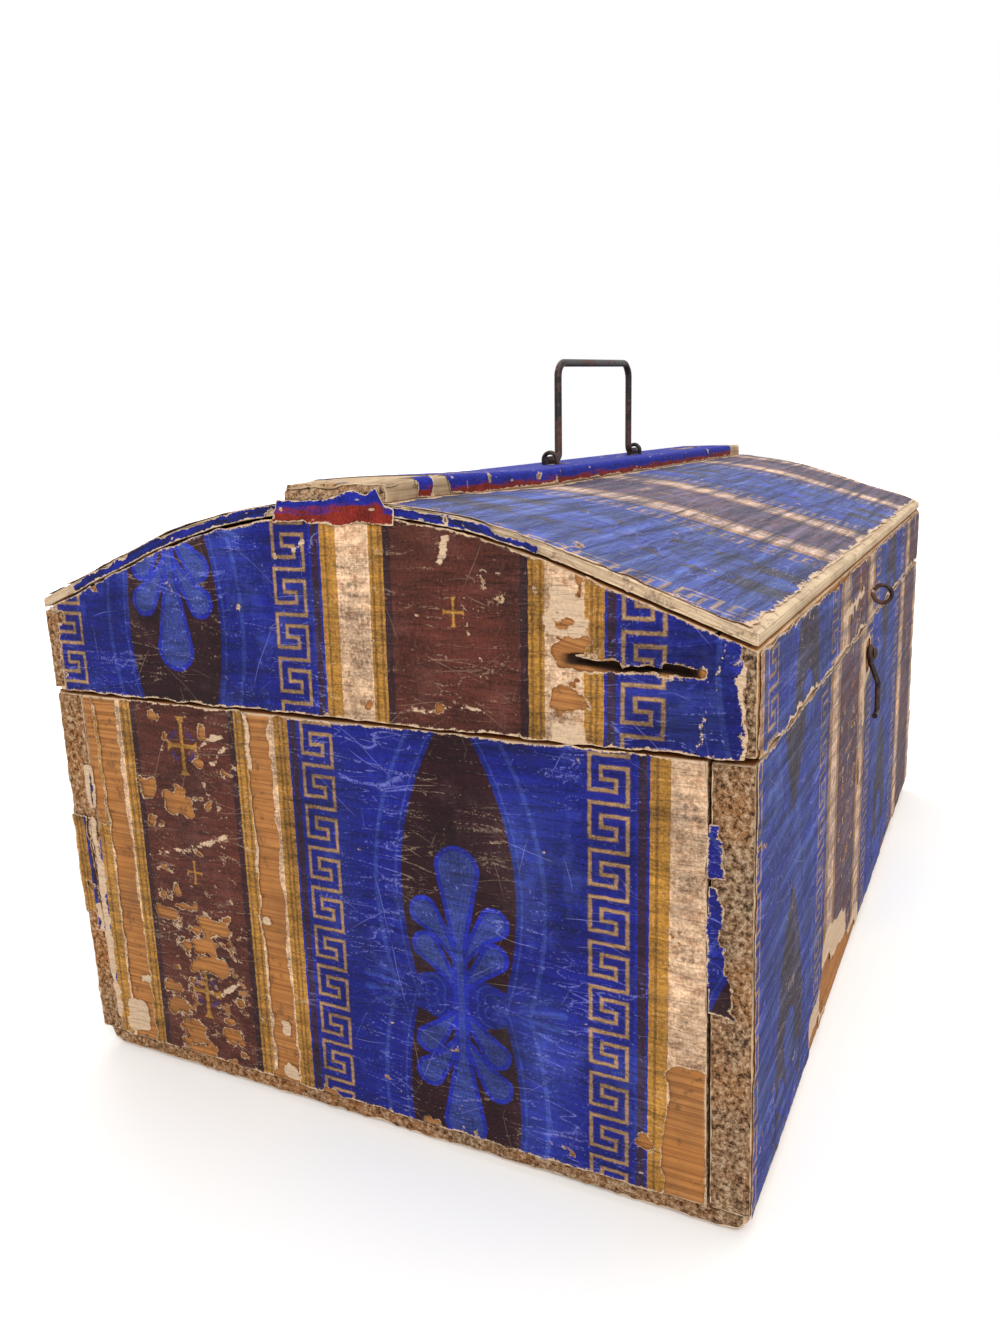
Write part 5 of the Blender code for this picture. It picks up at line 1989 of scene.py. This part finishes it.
        steepest = SIZES.slope / math.sqrt(1 + SIZES.slope ** 2)
        tacks = []
        for side in (-1, 1):
            places = [(x, side * self.gable_tack_y) for x in (-self.gable_x, self.gable_x)]
            places += [(x, side * self.eave_y) for x in (-self.eave_x, 0, self.eave_x)]
            for x, y in places:
                run = min(abs(y) / SIZES.radius, steepest)
                out = Vector((0, math.copysign(run, y), math.sqrt(1 - run ** 2)))
                tacks.append((Vector((x, y, float(SIZES.dome(np.array(y))))) - out * self.sink, out))
        self.shop.drive("lid_tacks", "lid", tacks, TACK, numbered("dome_nail", 10))

    @staticmethod
    def end_top(below: float) -> Bend:
        """Return how high an end's paper reaches, in millimetres, at some metres below the dome."""
        return lambda a: SIZES.dome(a * MM, below) / MM

    def papers(self) -> None:
        """Paper the lid's sides, ends and dome."""
        PaperSheet(
            "lid_left_paper", "lid", LEFT_FACE, (-146.6, 145.6, 169.7, 248.0), 0.85,
            stripes(-21, -1, 0.03, 205), knot=243, cross=266, key=207.3, flip=True, seed=51, rubbed=0.1,
            top=self.end_top(4.9 * MM),
            tears=[Patch(-97, 196.2, 22, 3.8, 1, 0.4), Patch(-114, 195.5, 16, 1.8, 1, 0.4),
                   Patch(-127.5, 196.4, 13, 3.2, 2, 0.5), flake(-91, 201.5, 11, 7),
                   flake(-89.5, 184, 11, 9), flake(-94, 222, 3, 5), flake(-42, 178, 4, 1.6),
                   Patch(-147.6, 204, 6, 10, 20, 2), Patch(-147.8, 180, 3, 24, 0, 2),
                   flake(-12, 176, 2, 2), flake(118, 214, 3, 1.8), Patch(145, 186, 4, 30, 0, 2),
                   Patch(143, 201, 8, 5)],
            peels=[Patch(-89, 212, 13, 18), Patch(-89, 173, 11, 7),
                   streak(-140.5, 207, -131, 170.5, -0.6, 0.2), Patch(-45, 231, 0.2, 9, 15, 1.2),
                   Patch(-147, 188, 3.6, 40), streak(-90, 193.8, -134, 194.2, -0.2, 0.3),
                   streak(-58, 178, -30, 176.5, 0.1, 0.2), streak(-120, 225, -139, 213, -0.4, 0.3),
                   Patch(14, 233, 6, 1.6, -20), Patch(145, 186, 4, 40)],
            flakes=[(Patch(-48, 205, 50, 60), -0.6), (Patch(-89, 196, 12, 60), -0.42),
                    (Patch(-145, 186, 5, 40), -0.42), (Patch(0, 170.5, 290, 1), -0.55),
                    (Patch(143, 186, 7, 40), -0.42)],
            shades=[(Patch(-126, 178, 34, 16), 0.65), (Patch(-112, 201, 50, 5), 0.5),
                    (Patch(0, 171, 290, 3), 0.3), (Patch(-122, 188, 16, 3), -0.6),
                    (Patch(60, 230, 30, 16), -0.5)]).build(END_PAPER)
        PaperSheet(
            "lid_right_paper", "lid", RIGHT_FACE, (-141.0, 141.0, 170.1, 248.0), 1.6,
            stripes(-20, 1, 0.02, 205), knot=232, cross=200, key=204, seed=53, top=self.end_top(0.9 * MM),
            tears=[flake(-110, 174, 30, 6), flake(70, 226, 18, 7, -14), flake(20, 172, 16, 4)],
            peels=[flake(-108, 178, 36, 9), flake(66, 224, 26, 11, -14)],
            flakes=[(Patch(46, 205, 52, 60), -0.45)]).build(END_PAPER)
        PaperSheet(
            "lid_front_paper", "lid", FRONT_FACE, (-239.6, 238.8, 169.8, 202.8), 1.3, stripes(64, 1),
            knot=120, cross=204, key=188, seed=55, ragged=1.5, rubbed=0.2,
            tears=[Patch(-239.4, 190, 2.4, 24), Patch(-100, 204, 70, 4), Patch(-40, 176, 12, 3),
                   Patch(-30, 190, 8, 3), Patch(170, 205, 80, 4), Patch(-239, 172, 5, 3)],
            holes=[Patch(1.6, 182.3, 4.6, 4.6)],
            peels=[Patch(0, 205, 480, 3.4), Patch(-52, 186, 60, 3, 4), Patch(0, 170.0, 480, 1)],
            flakes=[(Patch(-40, 188, 60, 40), -0.5), (Patch(0, 204, 480, 7), -0.48)]).build(SIDE_PAPER)
        PaperSheet(
            "lid_back_paper", "lid", BACK_FACE, (-238.4, 238.4, 170.0, 202.6), 1.6, stripes(45, -1),
            knot=120, cross=190, key=192, flip=True, seed=57, ragged=1.5,
            tears=[flake(180, 204, 90, 5), flake(-60, 172, 30, 4), flake(-237, 190, 5, 20)],
            holes=[Patch(-140, 178, 9, 20), Patch(140, 178, 9, 20)],
            peels=[flake(0, 205, 480, 3.4), flake(-140, 180, 18, 26), flake(140, 180, 18, 26)],
            flakes=[(Patch(-20, 188, 60, 40), -0.45), (Patch(0, 204, 480, 7), -0.45)]).build(SIDE_PAPER)

        y = np.linspace(-HALF_DEPTH, HALF_DEPTH, 361)
        over, reach = section_face(np.stack([y, SIZES.dome(y)], 1))
        PaperSheet(
            "dome_paper", "lid", over, (-239.9, 239.3, 3.4, reach - 3.4), 1.9, stripes(70, 1, -0.235, 5),
            knot=62, cross=100, key=0, seed=59, ragged=1.6, curl=0.4, rubbed=0.1,
            holes=[Patch(0, 153.8, 520, 39)],
            tears=[Patch(-240, 26, 3.6, 54, 0, 1.6), Patch(-150, 176.6, 60, 3), Patch(100, 176.8, 90, 3)],
            peels=[Patch(0, 132.5, 480, 4.5), Patch(0, 175.2, 480, 4.5), Patch(-240, 34, 3, 70),
                   Patch(0, 3.6, 480, 1.4), Patch(0, reach - 3.6, 480, 1.4)],
            flakes=[(Patch(0, 156, 480, 320), -0.68), (Patch(-236, 156, 8, 320), -0.45),
                    (Patch(0, 4, 480, 4), -0.45), (Patch(0, reach - 4, 480, 4), -0.45)]).build(DOME_PAPER)
        PaperSheet(
            "dome_edge_paper", "lid", arch_edge, (-147.0, 147.0, 0.0, 4.0), 0.6, stripes(0, 1), flip=True,
            seed=65, ragged=0.5, curl=0.2, lift=0.16, swell=0.05, rubbed=-0.8,
            tears=[Patch(-114, 2.2, 68, 5.4, 0, 2), Patch(118, 4, 42, 1.2, 0, 1.5),
                   Patch(62, 4, 34, 1.0, 0, 1.2), Patch(140, 2, 18, 5, 0, 2),
                   Patch(-84, 3.6, 40, 2.4, 0, 1.5), Patch(-48, 3.9, 50, 0.9, 0, 1.2)],
            flakes=[(Patch(0, 2, 300, 6), -0.42)]).build(EDGE_PAPER)

    def batten_papers(self) -> None:
        """Paper the batten, and the strip that is folded down under its near end."""
        half, radius, top = SIZES.batten_width / 2, self.batten_round, SIZES.batten_top
        front, back = SIZES.batten_shift - half, SIZES.batten_shift + half
        feet = [float(SIZES.dome(np.array(y))) + SIZES.fit for y in (front, back)]
        turn = np.linspace(0, math.pi / 2, 7)[1:]
        line = [(front, z) for z in np.linspace(feet[0], top - radius, 8)]
        line += [(front + radius * (1 - math.cos(t)), top - radius * (1 - math.sin(t))) for t in turn]
        line += [(y, top) for y in np.linspace(front + radius, back - radius, 30)[1:]]
        line += [(back - radius * (1 - math.sin(t)), top - radius * (1 - math.cos(t))) for t in turn]
        line += [(back, z) for z in np.linspace(top - radius, feet[1], 8)[1:]]
        over, reach = section_face(np.array(line))

        def redness(a: Array, b: Array) -> Array:
            """Return how much of the red paper shows, low on the sides."""
            return np.clip((3.2 - np.minimum(b, reach - b)) * 0.13, -0.3, 0.3)

        PaperSheet(
            "batten_paper", "lid", over, (-221.0, 237.0, 0.6, reach - 0.6), 1.3, stripes(0, 1), seed=61,
            ragged=1.2, curl=0.12, lift=0.2, swell=0.03, rubbed=-0.4, tint=redness,
            tears=[Patch(-202.5, 4, 10, 14, 0, 1.5), Patch(-206, 28, 36, 36, 0, 3), Patch(-150, 30, 30, 8),
                   Patch(-48, 29, 20, 9), Patch(66, 29, 20, 9), Patch(180, 30, 50, 10, 0, 3),
                   Patch(226, 9, 24, 22, 0, 3), Patch(-120, 50, 40, 6)],
            flakes=[(Patch(-170, 20, 120, 80), -0.5), (Patch(60, 30, 400, 80), -0.6)]).build(BATTEN_PAPER)

        low = 240.3
        torn_at = (-28.0, -24.0, -21.0, -17.0, -12.0, -6.5, -2.5, 0.5, 7.0, 14.0, 21.0, 25.0)
        torn_top = (245.6, 246.9, 252.2, 249.8, 251.4, 250.3, 249.4, 247.8, 248.4, 248.6, 248.8, 246.5)

        def torn_edge(a: Array) -> Array:
            """Return the height of the red strip's torn top."""
            return np.interp(a, torn_at, torn_top)

        def folded(a: Array, b: Array) -> Array:
            """Return how much blue shows on the red strip, more of it high up."""
            return np.clip(((b - low) / (torn_edge(a) - low) - 0.62) * 0.9, -0.3, 0.5)

        PaperSheet(
            "red_paper_strip", "lid", LEFT_FACE, (-28.0, 25.0, low, 253.0), 0.6, stripes(0, 1), flip=True,
            seed=63, ragged=1.1, curl=0.5, lift=0.75, swell=0.35, rubbed=-0.9, tint=folded, top=torn_edge,
            tears=[Patch(24, 245, 4, 9, 20, 2), Patch(2, 239.6, 40, 1.0, 0, 1.5)],
            flakes=[(Patch(0, 246, 60, 14), -0.52)]).build(RED_PAPER)

    def build(self) -> None:
        """Build the lid."""
        self.boards()
        self.nails()
        self.papers()
        self.batten_papers()


def bent(corners: Sequence[Sequence[float]], radius: float, steps: int = 8) -> list[Vector]:
    """Return points along a path of corners, each inner corner turned on an arc.

    Args:
        corners: the path's corners.
        radius: radius of each arc.
        steps: parts of each arc.

    Returns:
        The points.
    """
    path = [Vector(corner) for corner in corners]
    points = [path[0]]
    for before, corner, after in zip(path, path[1:], path[2:]):
        inward, outward = (before - corner).normalized(), (after - corner).normalized()
        half = inward.angle(outward) / 2
        middle = corner + (inward + outward).normalized() * radius / math.sin(half)
        first = corner + inward * radius / math.tan(half) - middle
        last = corner + outward * radius / math.tan(half) - middle
        turn = first.angle(last)
        for step in range(steps + 1):
            part = turn * step / steps
            blend = first * math.sin(turn - part) + last * math.sin(part)
            points.append(middle + blend / math.sin(turn))
    return points + [path[-1]]


def ring(centre: Vector, across: Vector, up: Vector, radius: float, start: float, sweep: float,
         steps: int = 32) -> list[Vector]:
    """Return points of a circle in the plane of two directions, from an angle and over a sweep."""
    angles = [start + sweep * step / steps for step in range(steps + 1)]
    return [centre + radius * (across * math.cos(t) + up * math.sin(t)) for t in angles]


@dataclass
class Handle:
    """The bail and the two staples that hold its feet on the batten."""

    shop: Workshop
    axis: Triple = (0.0082, -0.0025, 0.253801)
    wire: float = 1.9 * MM
    width: float = 0.104
    height: float = 0.0472
    far_height: float = 0.0505
    lean: float = 0.0026
    foot: float = 0.0155
    corner: float = 8.0 * MM
    foot_bend: float = 4.0 * MM
    staple: float = 1.1 * MM
    play: float = 0.6 * MM
    from_foot_end: float = 5.0 * MM
    clench: float = 8.0 * MM

    def build(self) -> None:
        """Build the bail and its staples."""
        axis = Vector(self.axis)
        half = self.width / 2
        end = half + self.foot
        near, far = (self.lean - half, 0, self.height), (self.lean + half, 0, self.far_height)
        lower = bent([(-end, 0, 0), (-half, 0, 0), near], self.foot_bend)[:-1]
        upper = bent([(-half, 0, 0), near, far, (half, 0, 0)], self.corner)[1:-1]
        closing = bent([far, (half, 0, 0), (end, 0, 0)], self.foot_bend)[1:]
        path = [point + axis for point in lower + upper + closing]
        self.shop.wire("bail", "handle", path, self.wire, "bail_handle", 20)

        arch = self.wire + self.play + self.staple
        toe = arch + self.clench
        lowest = max(abs(axis.y - toe), abs(axis.y + toe))
        sunk = float(SIZES.sunk(np.array([[axis.x, 0, SIZES.apex]]))[0])
        below = float(SIZES.dome(np.array(lowest), SIZES.sheet)) - sunk
        foot_z = below - SIZES.fit - self.staple
        for side, sign in (("left", -1), ("right", 1)):
            x = axis.x + sign * (end - self.from_foot_end)
            middle = Vector((x, axis.y, axis.z))
            over = ring(middle, ACROSS, UP, arch, math.pi, -math.pi, 20)
            first = [(x, axis.y - toe, foot_z), (x, axis.y - arch, foot_z), over[0]]
            last = [over[-1], (x, axis.y + arch, foot_z), (x, axis.y + toe, foot_z)]
            path = bent(first, self.staple)[:-1] + over + bent(last, self.staple)[1:]
            node = "handle_staple_" + side
            self.shop.wire("bail_staple_" + side, "lid", path, self.staple, node)


@dataclass
class Catch:
    """The eye in the lid's front, and the hook below it on its nail."""

    shop: Workshop
    eye_centre: Triple = (0.00155, -0.1558, 0.1823)
    eye_radius: float = 4.4 * MM
    eye_wire: float = 1.1 * MM
    eye_stem: float = 10.0 * MM
    hook_axis: Triple = (-0.00155, -0.1517, 0.1525)
    hook_wire: float = 1.4 * MM
    hook_tip: float = 9.0 * MM
    nail_shank: float = 1.2 * MM
    nail_head: float = 3.4 * MM
    nail_head_height: float = 1.6 * MM
    nail_depth: float = 11.0 * MM
    play: float = 0.6 * MM

    @staticmethod
    def gap(radius: float, thickness: float) -> float:
        """Return the angle that keeps a ring's cut end clear of its stem."""
        return 2 * math.asin((1.5 * thickness + SIZES.fit) / (2 * radius))

    def build(self) -> None:
        """Build the eye, the hook and its nail."""
        centre = Vector(self.eye_centre)
        gap = self.gap(self.eye_radius, self.eye_wire)
        loop = ring(centre, -ACROSS, UP, self.eye_radius, math.pi + gap / 3,
                    2 * math.pi - 4 * gap / 3)
        neck = centre + ACROSS * (self.eye_radius + self.eye_wire)
        stem = neck + ACROSS * self.eye_stem
        self.shop.wire("catch_eye", "lid", [stem, neck] + loop, self.eye_wire, "lid_eye")

        axis = Vector(self.hook_axis)
        around = self.nail_shank + self.play + self.hook_wire
        gap = self.gap(around, self.hook_wire)
        loop = ring(Vector(), ALONG, UP, around, -math.pi / 2 - gap, -2 * math.pi + 4 * gap / 3)
        out = centre.y - axis.y
        reach = centre.z - axis.z
        shank = bent([(0, 0, -around - self.hook_wire), (0, out, -reach / 2), (0, out, -reach),
                      (-self.hook_tip, out, -reach)], self.hook_wire * 1.5)
        path = [point + axis for point in loop + shank]
        self.shop.wire("catch_hook", "hook", path, self.hook_wire, "latch_hook", 14)

        top = axis.y - self.hook_wire - self.play - self.nail_head_height
        length = -HALF_DEPTH + self.nail_depth - top
        profile = [(self.nail_head * math.sin(t), -self.nail_head_height * (1 - math.cos(t)))
                   for t in np.linspace(0, math.pi / 2, 7)]
        profile += [(self.nail_shank, -self.nail_head_height),
                    (self.nail_shank, -length + self.nail_shank), (0, -length)]
        spot = (Vector((axis.x, top, axis.z)), -ACROSS)
        self.shop.drive("catch_nail", "box", [spot], profile, ["hook_nail"], 24)


@dataclass
class Hinges:
    """Two linked wire loops on the back: a staple in the box and an eye in the lid."""

    shop: Workshop
    wire: float = 1.2 * MM
    axis_y: float = 0.1544
    axis_z: float = 0.163
    x: float = 0.140
    bar: float = 16.0 * MM
    ring_radius: float = 2.9 * MM
    clench: float = 7.0 * MM
    side_board: float = 14.5 * MM
    rail_board: float = 12.5 * MM
    tail_z: float = 0.1813

    def build(self) -> None:
        """Build both hinges."""
        fit = SIZES.fit
        board_inside = HALF_DEPTH - self.side_board - fit - self.wire
        rail_inside = HALF_DEPTH - self.rail_board - fit - self.wire
        tail_y = self.axis_y + self.ring_radius
        half, y, z = self.bar / 2, self.axis_y, self.axis_z
        opening = math.acos(1 - (2 * self.wire + fit) / self.ring_radius)
        for side, sign in (("left", -1), ("right", 1)):
            x = sign * self.x
            path = bent([(x - half - self.clench, board_inside, z), (x - half, board_inside, z),
                         (x - half, y, z), (x + half, y, z), (x + half, board_inside, z),
                         (x + half + self.clench, board_inside, z)], self.wire)
            self.shop.wire("hinge_loop_" + side, "box", path, self.wire, "hinge_staple_" + side)
            loop = ring(Vector((x, y, z)), ACROSS, UP, self.ring_radius, opening,
                        2 * math.pi - opening)
            tail = bent([loop[-1], (x, tail_y, self.tail_z), (x, rail_inside, self.tail_z),
                         (x, rail_inside, self.tail_z + self.clench)], self.wire)
            self.shop.wire("hinge_ring_" + side, "lid", loop[:-1] + tail, self.wire, "hinge_eye_" + side)


@dataclass
class Studio:
    """Floor, soft light and the camera at the photograph's place."""

    eye: Triple = (-0.53695, -0.21750, 0.27008)
    azimuth: float = 0.47493765
    elevation: float = -0.22567428
    roll: float = -0.04267949
    focal_pixels: float = 1034.888
    picture_height: float = 1333.0
    sensor: float = 36.0
    floor_level: float = -0.4 * MM
    floor_half: float = 6.0
    sky: float = 0.62
    aim: Triple = (0, 0, 0.12)

    def camera(self) -> None:
        """Place the camera."""
        data = bpy.data.cameras.new("camera")
        data.sensor_width = self.sensor
        data.lens = self.focal_pixels / self.picture_height * self.sensor
        data.clip_start, data.clip_end = 0.01, 50.0
        ahead = Vector((math.cos(self.elevation) * math.cos(self.azimuth),
                        math.cos(self.elevation) * math.sin(self.azimuth),
                        math.sin(self.elevation)))
        right = ahead.cross(UP).normalized()
        upright = right.cross(ahead)
        cosine, sine = math.cos(self.roll), math.sin(self.roll)
        side = right * cosine + upright * sine
        top = upright * cosine - right * sine
        turn = Matrix((side, top, -ahead)).transposed().to_4x4()
        camera = linked(bpy.data.objects.new("camera", data))
        camera.matrix_world = Matrix.Translation(self.eye) @ turn
        bpy.context.scene.camera = camera

    def lamp(self, name: str, spot: Triple, size: float, power: float) -> None:
        """Hang a soft square lamp that looks at the box.

        Args:
            name: its name.
            spot: where it hangs.
            size: its width in metres.
            power: its watts.
        """
        data = bpy.data.lights.new(name, "AREA")
        data.size = size
        data.energy = power
        lamp = linked(bpy.data.objects.new(name, data))
        lamp.location = spot
        lamp.rotation_euler = (Vector(self.aim) - Vector(spot)).to_track_quat("-Z", "Y").to_euler()

    def world(self) -> None:
        """Light the scene evenly, with a white background for camera, gloss and glass."""
        world = bpy.data.worlds.new("studio")
        bpy.context.scene.world = world
        world.use_nodes = True
        desk = Desk(world.node_tree)
        seen = desk.rays("Is Camera Ray", "Is Glossy Ray", "Is Transmission Ray")
        strength = seen * (1.0 - self.sky) + self.sky
        sky = desk.ink(0, "ShaderNodeBackground", None, {"Color": (1, 1, 1, 1), "Strength": strength})
        desk.node("ShaderNodeOutputWorld", None, {0: sky})

    def floor(self) -> None:
        """Lay a plain pale floor that keeps the shadow."""
        mesh = bpy.data.meshes.new("floor")
        corners = [(x * self.floor_half, y * self.floor_half, self.floor_level)
                   for x, y in ((-1, -1), (1, -1), (1, 1), (-1, 1))]
        mesh.from_pydata(corners, [], [(0, 1, 2, 3)])
        bench = Bench("pale_floor")
        x, y, _ = bench.split(bench.own_place())
        far = (x * x + y * y).root().over(0.75, 0.6) * 0.85 + 0.15
        glow = bench.rays("Is Camera Ray") * far
        glow = bench.vector(glow, glow, glow)
        bench.dress(Base_Color=Tone.FLOOR, Roughness=0.9, Specular_IOR_Level=0.1,
                    Emission_Color=glow, Emission_Strength=1.0)
        mesh.materials.append(bench.material)
        floor = linked(bpy.data.objects.new("floor", mesh))

    def build(self) -> None:
        """Set up floor, light and camera."""
        bpy.context.scene.view_settings.view_transform = "Standard"
        self.camera()
        self.world()
        self.lamp("key_lamp", (-1.5, -0.9, 1.5), 1.1, 26.0)
        self.lamp("top_lamp", (0.3, -0.2, 2.2), 1.6, 22.0)
        self.lamp("back_lamp", (1.2, 1.4, 1.4), 1.2, 14.0)
        self.floor()


def main() -> None:
    """Build the box piece by piece."""
    logging.basicConfig(level=logging.INFO, format="%(name)s %(message)s")
    for item in [o for o in bpy.context.scene.objects if o.type in {"CAMERA", "LIGHT"}]:
        bpy.data.objects.remove(item, do_unlink=True)
    shop = Workshop()
    Studio().build()
    for assembly in (Body(shop), Lid(shop), Handle(shop), Catch(shop), Hinges(shop)):
        assembly.build()
        LOG.info("%s done", type(assembly).__name__)
    bpy.context.view_layer.update()


if __name__ == "__main__":
    main()
